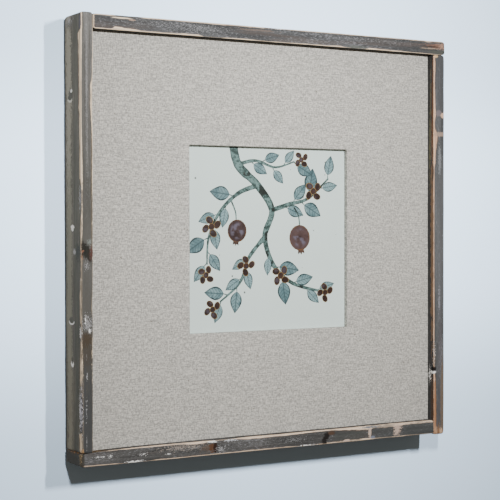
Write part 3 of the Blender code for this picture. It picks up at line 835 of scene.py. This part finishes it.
for edge in cloth.edges:
    middle = (edge.verts[0].co + edge.verts[1].co) / 2
    on_front = abs(middle.y - linen_low.y) < TINY
    edge.select_set(on_front and abs(from_window(middle) - WINDOW_SIDE / 2) < TINY)
bmesh.update_edit_mesh(linen_sheet.data)
bpy.ops.mesh.bevel(offset=WINDOW_ROUND, segments=3, affect="EDGES")
bpy.ops.mesh.select_all(action="SELECT")
bpy.ops.mesh.subdivide(number_cuts=LINEN_CUTS)
bpy.ops.mesh.normals_make_consistent(inside=False)
bpy.ops.object.mode_set(mode="OBJECT")
facing = sum(face.normal.y * face.area for face in linen_sheet.data.polygons)
if facing > 0:
    linen_sheet.data.flip_normals()
for vert in linen_sheet.data.vertices:
    if vert.co.y < linen_low.y + TINY:
        vert.co.y += LINEN_WAVE * (WAVE_LEVEL + noise.noise(vert.co * WAVES))
cloth_thickness = linen_sheet.modifiers.new("cloth_thickness", "SOLIDIFY")
cloth_thickness.thickness = LINEN_THICKNESS
cloth_thickness.offset = -1
bpy.context.view_layer.objects.active = linen_sheet
bpy.ops.object.modifier_apply(modifier=cloth_thickness.name)
smooth_shade(linen_sheet)


def ridge_group():
    """Rounded ridges both ways across a face, like threads or the marks of a wire screen."""
    tree, given, found = new_group(
        "crossed_ridges",
        {"Place": ("Vector", None), "Pitch": ("Float", 0.001)},
        {"Height": "Float"},
    )
    split = add_node(tree, "SeparateXYZ", {"Vector": given["Place"]}).outputs
    waves = []
    for axis in ("X", "Z"):
        turns = calc(tree, "DIVIDE", split[axis], given["Pitch"])
        wave = calc(tree, "SINE", calc(tree, "MULTIPLY", turns, math.pi))
        waves.append(calc(tree, "ABSOLUTE", wave))
    plug(tree, found["Height"], calc(tree, "MULTIPLY", *waves))
    return tree


crossed_ridges = ridge_group()


def ridges(tree, place, pitch):
    """The height of crossed ridges one pitch apart."""
    inputs = {"Place": place, "Pitch": pitch}
    return add_node(tree, "Group", inputs, node_tree=crossed_ridges).outputs["Height"]


def object_place(tree):
    """A point's own place, in metres."""
    return add_node(tree, "TexCoord").outputs["Object"]


def linen_finish():
    """Undyed linen: slubs both ways, long ones across, shaded gaps and bits of husk."""
    material, tree, shader = new_finish("natural_linen", 0.92, {"Specular IOR Level": 0.15})
    place = object_place(tree)
    pillow = ridges(tree, place, WARP_PITCH)
    weft_slub = cloud(tree, place, (300, 300, 1000), 1.0, 0.6)
    warp_slub = cloud(tree, place, (1000, 300, 300), 1.0, 0.6, (3, 1, 2))
    mottle = cloud(tree, place, (900, 900, 900), 2.0, 0.7)
    long_slub = around_zero(tree, cloud(tree, place, (60, 400, 900), 2.0, 0.6, (6, 2, 9)), 0.28)
    slub = weighted(tree, (weft_slub, 0.375), (warp_slub, 0.375), (mottle, 0.25), (long_slub, 1.0))
    color = tint(tree, ramp(tree, slub, 0.398, 0.622), LINEN_DARK, LINEN_PALE)
    gap_shade = grey(tree, ramp(tree, pillow, 0.0, 0.35, 0.75, 1.0))
    color = tint(tree, 1.0, color, gap_shade, "MULTIPLY")
    husk = cloud(tree, place, (420, 420, 420), 1.0, 0.5, (8, 8, 8))
    color = tint(tree, ramp(tree, husk, 0.75, 0.79, 0.0, 0.8), color, HUSK_BROWN)
    plug(tree, shader.inputs["Base Color"], color)
    relief(tree, shader, weighted(tree, (pillow, 0.6), (slub, 0.6)), WEAVE_BUMP, 0.8)
    return material


def mottled_finish(name, roughness, values, grain, dark, pale):
    """Start a finish between two colours, and give it, its tree, shader, place and mottling."""
    material, tree, shader = new_finish(name, roughness, values)
    place = object_place(tree)
    scale, detail, rough = grain
    mottling = cloud(tree, place, (scale, scale, scale), detail, rough)
    plug(tree, shader.inputs["Base Color"], tint(tree, mottling, dark, pale))
    return material, tree, shader, place, mottling


def refinish(node, finish):
    """Give a finish to a CAD piece that stays."""
    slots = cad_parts[node].data.materials
    slots.clear()
    slots.append(finish)


linen_sheet.data.materials.append(linen_finish())
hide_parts("linen_cover")
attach(linen_sheet, "root")

card, card_tree, card_shader, _, card_grain = mottled_finish(
    "mat_card", 0.9, {}, (600, 3.0, 0.6), (0.6, 0.58, 0.53, 1), (0.76, 0.74, 0.7, 1)
)
relief(card_tree, card_shader, card_grain, CARD_BUMP)
refinish("mat_board", card)

# The painted tile
# A square glazed tile, painted freehand under a pale grey-green glaze: a fruiting bough with
# teal leaves, clusters of brown berries and two brown fruits. Its face is one flat sheet, cut
# along the brush marks so that each mark carries its own wash.
TILE_ARRIS = 0.001
GLAZE_BUMP = 0.0003
SPECK_CELLS = 75.0
FRONT_AREA = 0.01
FRONT_DEPTH = 1e-5
CUT_TOLERANCE = 1e-4
LEAF_STEPS = 12
LEAF_LOW = 0.8
STROKE_WANDER = 0.22
STALK = (4, 3)
LEAF_LEAN = (0.85, 0.35)
VEINS = 6.5
VEIN_SLANT = 1.6
GROUND_GREEN = (0.58, 0.68, 0.65, 1)
LEAF_COLORS = ((0.2, 0.31, 0.325, 1), (0.075, 0.14, 0.155, 1), (0.018, 0.038, 0.042, 1))
CROWN_COLORS = ((0.09, 0.05, 0.035, 1), (0.03, 0.014, 0.01, 1), (0.014, 0.008, 0.006, 1))
BERRY_COLORS = ((0.045, 0.02, 0.013, 1), (0.014, 0.006, 0.005, 1), (0.2, 0.13, 0.05, 1))
FRUIT_COLORS = ((0.07, 0.042, 0.04, 1), (0.022, 0.01, 0.009, 1), (0.12, 0.055, 0.02, 1))


def round_edges(width, segments):
    """Bevel all the edges of the piece that was just added."""
    bpy.ops.object.mode_set(mode="EDIT")
    bpy.ops.mesh.select_all(action="SELECT")
    bpy.ops.mesh.bevel(offset=width, segments=segments, affect="EDGES")
    bpy.ops.object.mode_set(mode="OBJECT")


tile_low, tile_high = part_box("painted_tile")
painted_tile = new_piece("painted_glazed_tile", tile_low, tile_high)
round_edges(TILE_ARRIS, 3)
marks_of_paint = []


def paint(kind, outline, origin, reach, side, tone):
    """Put down a brush mark: its kind, outline and tone, and where its own axes start and reach."""
    marks_of_paint.append((kind, outline, Vector(origin), Vector(reach), Vector(side), tone))


def turned(angle):
    """The direction of an angle on the tile's face."""
    return Vector((math.cos(angle), math.sin(angle)))


def paint_leaf(base, angle, length, width, tone, kind="leaf"):
    """A leaf or petal from its base along an angle, widest before its middle."""
    ahead = turned(angle)
    aside = Vector((-ahead.y, ahead.x))
    shares = [i / LEAF_STEPS for i in range(1, LEAF_STEPS)]
    half = [math.sin(math.pi * share**LEAF_LOW) * width / 2 for share in shares]
    left = [base + ahead * length * share + aside * w for share, w in zip(shares, half)]
    right = [base + ahead * length * share - aside * w for share, w in zip(shares, half)]
    outline = [base] + right + [base + ahead * length] + left[::-1]
    paint(kind, outline, base, ahead * length, aside * width / 2, tone)


def paint_stroke(kind, path, start_width, end_width, tone):
    """A long brush stroke that tapers along a path."""
    total = sum((b - a).length for a, b in zip(path, path[1:]))
    gone = 0.0
    edges = []
    for index, point in enumerate(path):
        before = path[max(index - 1, 0)]
        after = path[min(index + 1, len(path) - 1)]
        ahead = (after - before).normalized()
        share = gone / total
        width = start_width + (end_width - start_width) * share
        width *= 1 + STROKE_WANDER * noise.noise(Vector((gone * 0.12, tone * 30, 0)))
        edges.append((point, Vector((-ahead.y, ahead.x)) * width / 2))
        if index + 1 < len(path):
            gone += (path[index + 1] - point).length
    for (start, side), (end, other) in zip(edges, edges[1:]):
        outline = [start - side, end - other, end + other, start + side]
        paint(kind, outline, start, end - start, (side + other) / 2, tone)


def paint_disc(kind, centre, radius, tone, stretch=1.0, angle=math.pi / 2, sides=20):
    """A round mark, drawn out along an angle."""
    ahead = turned(angle) * radius * stretch
    aside = Vector((-turned(angle).y, turned(angle).x)) * radius
    ring = [2 * math.pi * i / sides for i in range(sides)]
    outline = [centre + ahead * math.cos(a) + aside * math.sin(a) for a in ring]
    paint(kind, outline, centre, ahead, aside, tone)


def bough_path(points, steps=7):
    """A smooth path through chosen points."""
    points = [Vector(point) for point in points]
    path = []
    for index in range(len(points) - 1):
        before = points[max(index - 1, 0)]
        here = points[index]
        there = points[index + 1]
        after = points[min(index + 2, len(points) - 1)]
        path += interpolate_bezier(
            here, here + (there - before) / 6, there - (after - here) / 6, there, steps + 1
        )[: steps if index < len(points) - 2 else steps + 1]
    return [Vector(point[:2]) for point in path]


def leaf_pairs(path, start, end, count, length, seed):
    """Leaves in turn on either side of a twig, each on a short stalk."""
    for index in range(count):
        share = start + (end - start) * index / (count - 1)
        spot = share * (len(path) - 1)
        first = min(int(spot), len(path) - 2)
        point = path[first].lerp(path[first + 1], spot - first)
        ahead = (path[first + 1] - path[first]).normalized()
        side = 1 if index % 2 else -1
        chance = noise.noise(Vector((seed, index * 3.7, 0.4)))
        angle = math.atan2(ahead.y, ahead.x) + side * (LEAF_LEAN[0] + LEAF_LEAN[1] * chance)
        stalk_end = point + turned(angle) * (STALK[0] + STALK[1] * chance)
        paint_stroke("bough", [point, stalk_end], 1.2, 0.8, 0.4)
        size = length * (1 + 0.35 * chance)
        paint_leaf(stalk_end, angle - side * 0.2, size, size * (0.58 + 0.15 * chance), 0.5 + chance)


def paint_berries(centre, size, turn, tone):
    """A cluster of brown berries round one in the middle."""
    for step in range(4):
        angle = turn + step * math.pi / 2 + 0.5 * noise.noise(Vector((tone * 9, step, 0)))
        place = centre + turned(angle) * size
        paint_disc("berry", place, size * 0.52, tone + 0.12 * step, 1.3, angle + 0.6, 14)
    paint_disc("berry", centre, size * 0.5, tone, 1.1, turn, 14)


def paint_fruit(centre, radius, angle, tone):
    """A round fruit with a small pointed crown."""
    crown = centre + turned(angle) * radius * 0.92
    for step in (-0.5, 0.0, 0.5):
        paint_leaf(crown - turned(angle) * 1.5, angle + step, radius * 0.62, radius * 0.3, tone, "petal")
    paint_disc("fruit", centre, radius, tone, 1.05, angle)


main_bough = bough_path(
    [(-40, 98), (-34, 72), (-12, 52), (4, 28), (-4, 2), (6, -26), (28, -44), (58, -52)]
)
left_bough = bough_path([(-12, 52), (-34, 44), (-54, 26), (-66, 2), (-68, -24)])
right_bough = bough_path([(4, 28), (24, 34), (46, 40), (70, 60)])
low_bough = bough_path([(-4, 2), (-22, -18), (-32, -42), (-54, -60)])
high_bough = bough_path([(-34, 72), (-14, 76), (8, 70), (30, 76)])
for path, start_width, end_width, tone in (
    (low_bough, 4.6, 1.6, 0.6),
    (high_bough, 3.8, 1.3, 0.8),
    (right_bough, 5.0, 1.6, 0.3),
    (left_bough, 4.8, 1.6, 0.5),
    (main_bough, 10.0, 2.4, 0.1),
):
    paint_stroke("bough", path, start_width, end_width, tone)
for path, start, end, count, length, seed in (
    (main_bough, 0.66, 0.99, 6, 21, 1.0),
    (left_bough, 0.3, 0.98, 7, 20, 2.0),
    (right_bough, 0.25, 0.98, 6, 20, 3.0),
    (low_bough, 0.35, 0.98, 6, 20, 4.0),
    (high_bough, 0.25, 0.98, 5, 17, 5.0),
):
    leaf_pairs(path, start, end, count, length, seed)
for stalk, centre, radius, angle, tone in (
    ([(26, 35), (34, 24), (36, 13)], (36, 1), 12.0, -1.45, 0.3),
    ([(-42, 38), (-37, 27), (-36, 19)], (-35, 8), 10.5, -1.7, 0.8),
):
    paint_stroke("bough", bough_path(stalk), 1.8, 1.2, 0.2)
    paint_fruit(Vector(centre), radius, angle, tone)
for centre, size, turn in (
    ((-63, 12), 6.6, 0.3),
    ((-69, -34), 5.8, 1.0),
    ((52, 47), 6.6, 0.7),
    ((-25, -26), 6.2, 0.1),
    ((-62, -67), 6.0, 0.5),
    ((14, -36), 6.6, 0.9),
    ((66, -54), 6.0, 0.2),
    ((38, 78), 5.4, 0.6),
):
    paint_berries(Vector(centre), size, turn, 0.1 * size)

# Cut the tile's face along the outlines, the last mark on top
points = []
faces = []
half_face = (tile_high.x - tile_low.x) / 2 / MM - TILE_ARRIS / MM
corners = [(-1, -1), (1, -1), (1, 1), (-1, 1)]
for outline in [[Vector(c) * half_face for c in corners]] + [mark[1] for mark in marks_of_paint]:
    faces.append(list(range(len(points), len(points) + len(outline))))
    points += outline
cut = delaunay_2d_cdt(points, [], faces, 1, CUT_TOLERANCE, True)
cut_points, _, cut_faces, _, _, face_sources = cut
kinds = ["ground", "bough", "leaf", "petal", "berry", "fruit"]

sheet = bmesh.new()
sheet.from_mesh(painted_tile.data)
front_faces = [f for f in sheet.faces if f.normal.y < -0.99 and f.calc_area() > FRONT_AREA]
bmesh.ops.delete(sheet, geom=front_faces, context="FACES_ONLY")
brush = sheet.loops.layers.uv.new("brush_place")
tones = sheet.loops.layers.float_color.new("brush_tone")
placed = [sheet.verts.new((p.x * MM, tile_low.y, frame_middle_z + p.y * MM)) for p in cut_points]
for corner_ids, sources in zip(cut_faces, face_sources):
    top = max(sources) if sources else 0
    facet = sheet.faces.new([placed[i] for i in corner_ids])
    if top == 0:
        continue
    kind, _, origin, reach, side, tone = marks_of_paint[top - 1]
    facet.material_index = kinds.index(kind)
    axes = Matrix(((reach.x, side.x), (reach.y, side.y))).inverted()
    for loop, i in zip(facet.loops, corner_ids):
        loop[brush].uv = axes @ (cut_points[i] - origin)
        loop[tones] = (tone, tone, tone, 1)
bmesh.ops.remove_doubles(sheet, verts=sheet.verts, dist=TINY)
for facet in sheet.faces:
    if facet.normal.y > 0.5 and facet.calc_center_median().y < tile_low.y + FRONT_DEPTH:
        facet.normal_flip()
sheet.to_mesh(painted_tile.data)
sheet.free()


def glaze_group():
    """The glaze over everything: faint pooling, a few dark specks and a soft ripple."""
    tree, given, found = new_group(
        "studio_glaze",
        {"Place": ("Vector", None), "Paint": ("Color", (0.6, 0.65, 0.64, 1))},
        {"Color": "Color", "Height": "Float"},
    )
    pooling = cloud(tree, given["Place"], (22, 22, 22), 3.0, 0.55)
    pooling = ramp(tree, pooling, 0.3, 0.7, 0.0, 0.35)
    pooled = tint(tree, pooling, given["Paint"], (0.5, 0.58, 0.57, 1), "MULTIPLY")
    pooled = tint(tree, 0.12, given["Paint"], pooled)
    split = add_node(tree, "SeparateXYZ", {"Vector": given["Place"]})
    flat = add_node(tree, "CombineXYZ", {"X": split.outputs["X"], "Y": split.outputs["Z"]})
    inputs = {"Vector": flat.outputs[0], "Scale": SPECK_CELLS}
    cells = add_node(tree, "TexVoronoi", inputs, voronoi_dimensions="2D")
    chosen = add_node(tree, "SeparateXYZ", {"Vector": cells.outputs["Color"]}).outputs["X"]
    size = ramp(tree, chosen, 0.85, 1.0, 0.0, 0.075)
    speck = calc(tree, "LESS_THAN", cells.outputs["Distance"], size)
    speck = calc(tree, "MULTIPLY", speck, 0.8)
    plug(tree, found["Color"], tint(tree, speck, pooled, (0.03, 0.035, 0.03, 1)))
    plug(tree, found["Height"], cloud(tree, given["Place"], (60, 60, 60), 2.0, 0.5))
    return tree


def wash_group():
    """One brush mark's wash: pooled pigment, darker towards its outline and its tip."""
    tree, given, found = new_group(
        "brush_wash",
        {
            "Place": ("Vector", None),
            "Edge": ("Float", 0.0),
            "Line": ("Float", 0.72),
            "Body": ("Color", (0.3, 0.4, 0.42, 1)),
            "Deep": ("Color", (0.1, 0.15, 0.17, 1)),
            "Ink": ("Color", (0.03, 0.05, 0.06, 1)),
            "Tone": ("Float", 0.5),
        },
        {"Color": "Color"},
    )
    pigment = cloud(tree, given["Place"], (420, 420, 420), 3.0, 0.6)
    broad = cloud(tree, given["Place"], (130, 130, 130), 2.0, 0.5, (4, 4, 4))
    tone = around_zero(tree, given["Tone"], 0.35)
    depth = weighted(tree, (pigment, 0.5), (broad, 0.7), (tone, 1.0))
    wash = tint(tree, ramp(tree, depth, 0.4, 0.85), given["Body"], given["Deep"])
    shaky = calc(tree, "ADD", given["Edge"], around_zero(tree, pigment, 0.35))
    line = ramp(tree, shaky, given["Line"], calc(tree, "ADD", given["Line"], 0.12))
    plug(tree, found["Color"], tint(tree, line, wash, given["Ink"]))
    return tree


studio_glaze = glaze_group()
brush_wash = wash_group()


def glaze_finish(name):
    """Start a glazed finish; its paint is joined to the shader by finish_glaze."""
    material, tree, shader = new_finish(name, 0.34, {"Coat Weight": 0.25, "Coat Roughness": 0.12})
    return material, tree, shader, object_place(tree)


def finish_glaze(tree, shader, place, paint_color):
    """Cover the paint with the glaze and join it to the shader."""
    glaze = add_node(tree, "Group", {"Place": place, "Paint": paint_color}, node_tree=studio_glaze)
    plug(tree, shader.inputs["Base Color"], glaze.outputs["Color"])
    relief(tree, shader, glaze.outputs["Height"], GLAZE_BUMP, 0.3)


def brush_sockets(tree):
    """A mark's own axes: along it from 0 to 1, across it from -1 to 1, and its tone."""
    uv = add_node(tree, "UVMap", uv_map="brush_place").outputs["UV"]
    split = add_node(tree, "SeparateXYZ", {"Vector": uv})
    tone = add_node(tree, "Attribute", attribute_name="brush_tone").outputs["Fac"]
    return split.outputs["X"], split.outputs["Y"], tone


def wash(tree, place, edge, line, colors, tone):
    """The colour of a wash inside its outline, from its body, deep and ink colours."""
    inputs = {"Place": place, "Edge": edge, "Line": line, "Tone": tone}
    inputs.update(zip(("Body", "Deep", "Ink"), colors))
    return add_node(tree, "Group", inputs, node_tree=brush_wash).outputs["Color"]


def leaf_finish(name, colors, line, veins):
    """A leaf or petal: a wash inside a drawn outline, with a midrib and side veins."""
    material, tree, shader, place = glaze_finish(name)
    run, across, tone = brush_sockets(tree)
    bend = calc(tree, "POWER", calc(tree, "MAXIMUM", run, 0.001), LEAF_LOW)
    width = calc(tree, "MAXIMUM", calc(tree, "SINE", calc(tree, "MULTIPLY", bend, math.pi)), 0.02)
    out = calc(tree, "ABSOLUTE", across)
    edge = calc(tree, "DIVIDE", out, width)
    color = wash(tree, place, edge, line, colors, tone)
    ink = colors[2]
    tip = ramp(tree, run, 0.72, 1.0, 0.0, 0.6)
    color = tint(tree, tip, color, ink)
    rib = ramp(tree, out, 0.1, 0.04)
    slant = weighted(tree, (run, VEINS), (out, -VEIN_SLANT))
    side_vein = calc(tree, "PINGPONG", slant, 0.5)
    side_vein = calc(tree, "MULTIPLY", ramp(tree, side_vein, 0.12, 0.04), ramp(tree, edge, 0.9, 0.7))
    drawn = calc(tree, "MULTIPLY", calc(tree, "MAXIMUM", rib, side_vein), veins)
    color = tint(tree, drawn, color, ink)
    finish_glaze(tree, shader, place, color)
    return material


def bough_finish():
    """The bough: blue-black ink with grey-teal lights down its middle."""
    material, tree, shader, place = glaze_finish("bough_ink")
    _, across, _ = brush_sockets(tree)
    edge = calc(tree, "ABSOLUTE", across)
    dry = cloud(tree, place, (260, 260, 260), 4.0, 0.7)
    light = calc(tree, "MULTIPLY", ramp(tree, dry, 0.4, 0.6), ramp(tree, edge, 1.1, 0.5))
    color = tint(tree, light, (0.02, 0.04, 0.036, 1), (0.12, 0.2, 0.19, 1))
    soaked = ramp(tree, cloud(tree, place, (60, 60, 60), 3.0, 0.6, (5, 1, 2)), 0.54, 0.6, 0.0, 0.9)
    color = tint(tree, soaked, color, (0.006, 0.009, 0.007, 1))
    finish_glaze(tree, shader, place, color)
    return material


def fruit_finish(name, colors, line, bloom_strength):
    """A fruit or berry: brown wash with a lavender bloom, inside an ochre outline."""
    material, tree, shader, place = glaze_finish(name)
    run, across, tone = brush_sockets(tree)
    spot = add_node(tree, "CombineXYZ", {"X": run, "Y": across}).outputs[0]
    edge = vector_calc(tree, "LENGTH", spot)
    color = wash(tree, place, edge, line, colors, tone)
    patches = cloud(tree, place, (150, 150, 150), 2.0, 0.5, (1, 2, 3))
    bloom = ramp(tree, patches, 0.46, 0.64, 0.0, bloom_strength)
    bloom = calc(tree, "MULTIPLY", bloom, ramp(tree, edge, 0.85, 0.5))
    color = tint(tree, bloom, color, (0.11, 0.1, 0.135, 1))
    finish_glaze(tree, shader, place, color)
    return material


def plain_glaze_finish(name, color):
    """Glaze over a plain ground."""
    material, tree, shader, place = glaze_finish(name)
    finish_glaze(tree, shader, place, color)
    return material


for finish in (
    plain_glaze_finish("ground_glaze", GROUND_GREEN),
    bough_finish(),
    leaf_finish("leaf_wash", LEAF_COLORS, 0.72, 0.75),
    leaf_finish("crown_wash", CROWN_COLORS, 0.8, 0.3),
    fruit_finish("berry_wash", BERRY_COLORS, 0.8, 0.3),
    fruit_finish("fruit_wash", FRUIT_COLORS, 0.88, 0.8),
):
    painted_tile.data.materials.append(finish)
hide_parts("painted_tile")
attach(painted_tile, "root")

# The backing board
# Brown hardboard pressed on a wire screen, whose mesh marks show on the side that faces out.
# It lies in the rabbet behind the tile.
SCREEN_PITCH = 0.0014
SCREEN_BUMP = 0.0003
BACKING_ARRIS = 0.0004


def hardboard_finish():
    """Pressed brown pulp with a few stains, under the marks of the screen."""
    material, tree, shader = new_finish("hardboard", 0.75, {"Specular IOR Level": 0.3})
    place = object_place(tree)
    pulp = cloud(tree, place, (260, 260, 260), 5.0, 0.7)
    stain = cloud(tree, place, (14, 14, 14), 3.0, 0.5)
    pulp_share = ramp(tree, pulp, 0.35, 0.65)
    color = tint(tree, pulp_share, (0.11, 0.055, 0.025, 1), (0.24, 0.14, 0.07, 1))
    color = tint(tree, ramp(tree, stain, 0.45, 0.75, 0.0, 0.4), color, (0.07, 0.04, 0.02, 1))
    plug(tree, shader.inputs["Base Color"], color)
    screen = ridges(tree, place, SCREEN_PITCH)
    relief(tree, shader, weighted(tree, (screen, 1.0), (pulp, 0.6)), SCREEN_BUMP, 0.6)
    return material


backing = new_piece("hardboard_back", *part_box("backing_board"))
round_edges(BACKING_ARRIS, 2)
backing.data.materials.append(hardboard_finish())
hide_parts("backing_board")
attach(backing, "root")

# The hanger and its nails
# A strip of thin plated steel with saw teeth along its lower edge, held by two wire nails.
# Its plating is dulled and finely drawn along its length.
DRAWN_BUMP = 0.00005

steel, steel_tree, steel_shader, steel_place, dulled = mottled_finish(
    "dulled_steel",
    0.38,
    {"Metallic": 1.0},
    (500, 4.0, 0.6),
    (0.36, 0.34, 0.3, 1),
    (0.66, 0.64, 0.58, 1),
)
plug(steel_tree, steel_shader.inputs["Roughness"], ramp(steel_tree, dulled, 0.3, 0.7, 0.28, 0.5))
drawn_lines = cloud(steel_tree, steel_place, (300, 3000, 3000), 2.0)
relief(steel_tree, steel_shader, drawn_lines, DRAWN_BUMP, 0.5)
for node in ("sawtooth_hanger", "hanger_nail_left", "hanger_nail_right"):
    refinish(node, steel)

# The wall bumpers
# Two small dots of dark grey felt stuck low down on the back, slightly domed and fuzzy.
# They keep the frame level and off the wall.
FELT_ARRIS = 0.0005
FELT_BUMP = 0.0003
DOT_SIDES = 40

felt, felt_tree, felt_shader, _, fuzz = mottled_finish(
    "grey_felt",
    0.98,
    {"Specular IOR Level": 0.1, "Sheen Weight": 0.4},
    (2200, 4.0, 0.7),
    (0.035, 0.035, 0.037, 1),
    (0.16, 0.16, 0.165, 1),
)
relief(felt_tree, felt_shader, fuzz, FELT_BUMP)
for side in ("left", "right"):
    low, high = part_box("wall_bumper_" + side)
    bpy.ops.object.select_all(action="DESELECT")
    bpy.ops.mesh.primitive_cylinder_add(
        vertices=DOT_SIDES,
        radius=(high.x - low.x) / 2,
        depth=high.y - low.y,
        location=(low + high) / 2,
        rotation=(math.pi / 2, 0, 0),
    )
    dot = bpy.context.object
    dot.name = "felt_dot_" + side
    bpy.ops.object.transform_apply(location=True, rotation=True, scale=True)
    round_edges(FELT_ARRIS, 3)
    smooth_shade(dot)
    dot.data.materials.append(felt)
    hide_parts("wall_bumper_" + side)
    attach(dot, "root")

# The room
# A pale painted wall behind the frame, a pale floor, soft light on the frame from in front
# and above, and two small lights that draw the frame's shadow on the wall.
FLOOR_Z = -1.0
FLOOR_SIZE = 12
WALL_SIZE = 6
WALL_GAP = 0.0004
HIGH_SHADE = (-0.13, 0.0)
LOW_SHADE = (-0.24, -0.4)
WALL_BLUE = (0.58, 0.75, 0.94, 1)
FLOOR_GREY = (0.72, 0.73, 0.74, 1)
AIR_COLOR = (1.0, 0.87, 0.71, 1)
AIR_STRENGTH = 0.19
BEAM = math.radians(84)
ALL_ROUND = math.pi
STRIP = (0.03, 0.12)
CAMERA_PLACE = (-0.6795, -1.1685, -0.1855)
CAMERA_YAW = math.radians(29.943)
CAMERA_PITCH = math.radians(-1.061)
CAMERA_ROLL = math.radians(-0.1)
CAMERA_LENS = 98.13
CAMERA_SENSOR = 36

wall = new_plane("room_wall", WALL_SIZE, (0, WALL_GAP, FLOOR_Z + WALL_SIZE / 2), math.pi / 2)
wall.visible_shadow = False
wall.visible_diffuse = False
floor = new_plane("room_floor", FLOOR_SIZE, (0, 0, FLOOR_Z))
floor.visible_diffuse = False


def wall_finish():
    """Pale blue-grey paint with painted shade towards the top and the bottom, clear from behind."""
    material, tree, shader = new_finish("wall_paint", 0.9)
    height = add_node(tree, "SeparateXYZ", {"Vector": object_place(tree)}).outputs["Z"]
    # Painted shade: the paint darkens towards the top and the bottom of the wall.
    high_shade = ramp(tree, height, *HIGH_SHADE, 1.0, 0.8)
    low_shade = ramp(tree, height, *LOW_SHADE, 1.0, 0.75)
    shade = grey(tree, calc(tree, "MULTIPLY", high_shade, low_shade))
    plug(tree, shader.inputs["Base Color"], tint(tree, 1.0, shade, WALL_BLUE, "MULTIPLY"))
    inputs = {
        0: add_node(tree, "NewGeometry").outputs["Backfacing"],
        1: shader.outputs[0],
        2: add_node(tree, "BsdfTransparent").outputs[0],
    }
    one_sided = add_node(tree, "MixShader", inputs)
    plug(tree, tree.nodes["Material Output"].inputs["Surface"], one_sided.outputs[0])
    return material


wall.data.materials.append(wall_finish())
floor_paint, _, _ = new_finish("floor_paint", 0.9, {"Base Color": FLOOR_GREY})
floor.data.materials.append(floor_paint)


def light_group(name, members, state):
    """A collection of what a light shines on alone, or leaves out."""
    group = bpy.data.collections.new(name)
    for member in members:
        group.objects.link(member)
    for link in group.collection_objects:
        link.light_linking.link_state = state
    return group


wall_only = light_group("wall_only", [wall], "INCLUDE")
tile_only = light_group("tile_only", [painted_tile], "INCLUDE")
all_but_wall = light_group("all_but_wall", [wall], "EXCLUDE")
boards_and_mat = light_group("boards_and_mat", [wall, painted_tile], "EXCLUDE")
middle = (0, 0, frame_middle_z)
upper = (0, 0, -0.1)

# Each light's place, what it points at, its sides in metres, its power in watts, what it
# shines on and how wide it spreads
for name, place, target, sides, power, receivers, spread in (
    ("wall_light_left", (-0.342, -0.944, 0.15), (-0.05, 0, -0.12), STRIP, 4.8, wall_only, BEAM),
    ("wall_light_right", (0.222, -0.944, 0.155), (0.05, 0, -0.12), STRIP, 5.9, wall_only, BEAM),
    ("picture_light", (0, -1.2, 0.14), upper, (0.05, 0.05), 5.2, boards_and_mat, BEAM),
    ("tile_light", (0, -1.35, 0.3), upper, (0.05, 0.1), 7.4, tile_only, BEAM),
    ("side_softbox", (-1.2, -0.13, 0.5), middle, (0.7, 0.7), 10.8, all_but_wall, ALL_ROUND),
    ("back_softbox", (0, 1.8, 0.3), middle, (1.2, 1.2), 12, all_but_wall, ALL_ROUND),
):
    lamp = bpy.data.lights.new(name, "AREA")
    lamp.shape = "RECTANGLE"
    lamp.size, lamp.size_y = sides
    lamp.energy = power
    lamp.spread = spread
    light = bpy.data.objects.new(name, lamp)
    light.location = place
    aim = Vector(target) - Vector(place)
    light.rotation_euler = aim.to_track_quat("-Z", "Y").to_euler()
    bpy.context.scene.collection.objects.link(light)
    light.light_linking.receiver_collection = receivers

world = bpy.data.worlds.new("studio_air")
bpy.context.scene.world = world
world.use_nodes = True
air = world.node_tree.nodes["Background"].inputs
air["Color"].default_value = AIR_COLOR
air["Strength"].default_value = AIR_STRENGTH

camera_data = bpy.data.cameras.new("photo_camera")
camera_data.lens = CAMERA_LENS
camera_data.sensor_width = CAMERA_SENSOR
camera = bpy.data.objects.new("photo_camera", camera_data)
camera.matrix_world = (
    Matrix.Translation(CAMERA_PLACE)
    @ Matrix.Rotation(-CAMERA_YAW, 4, "Z")
    @ Matrix.Rotation(math.pi / 2 + CAMERA_PITCH, 4, "X")
    @ Matrix.Rotation(CAMERA_ROLL, 4, "Z")
)
bpy.context.scene.collection.objects.link(camera)
bpy.context.scene.camera = camera
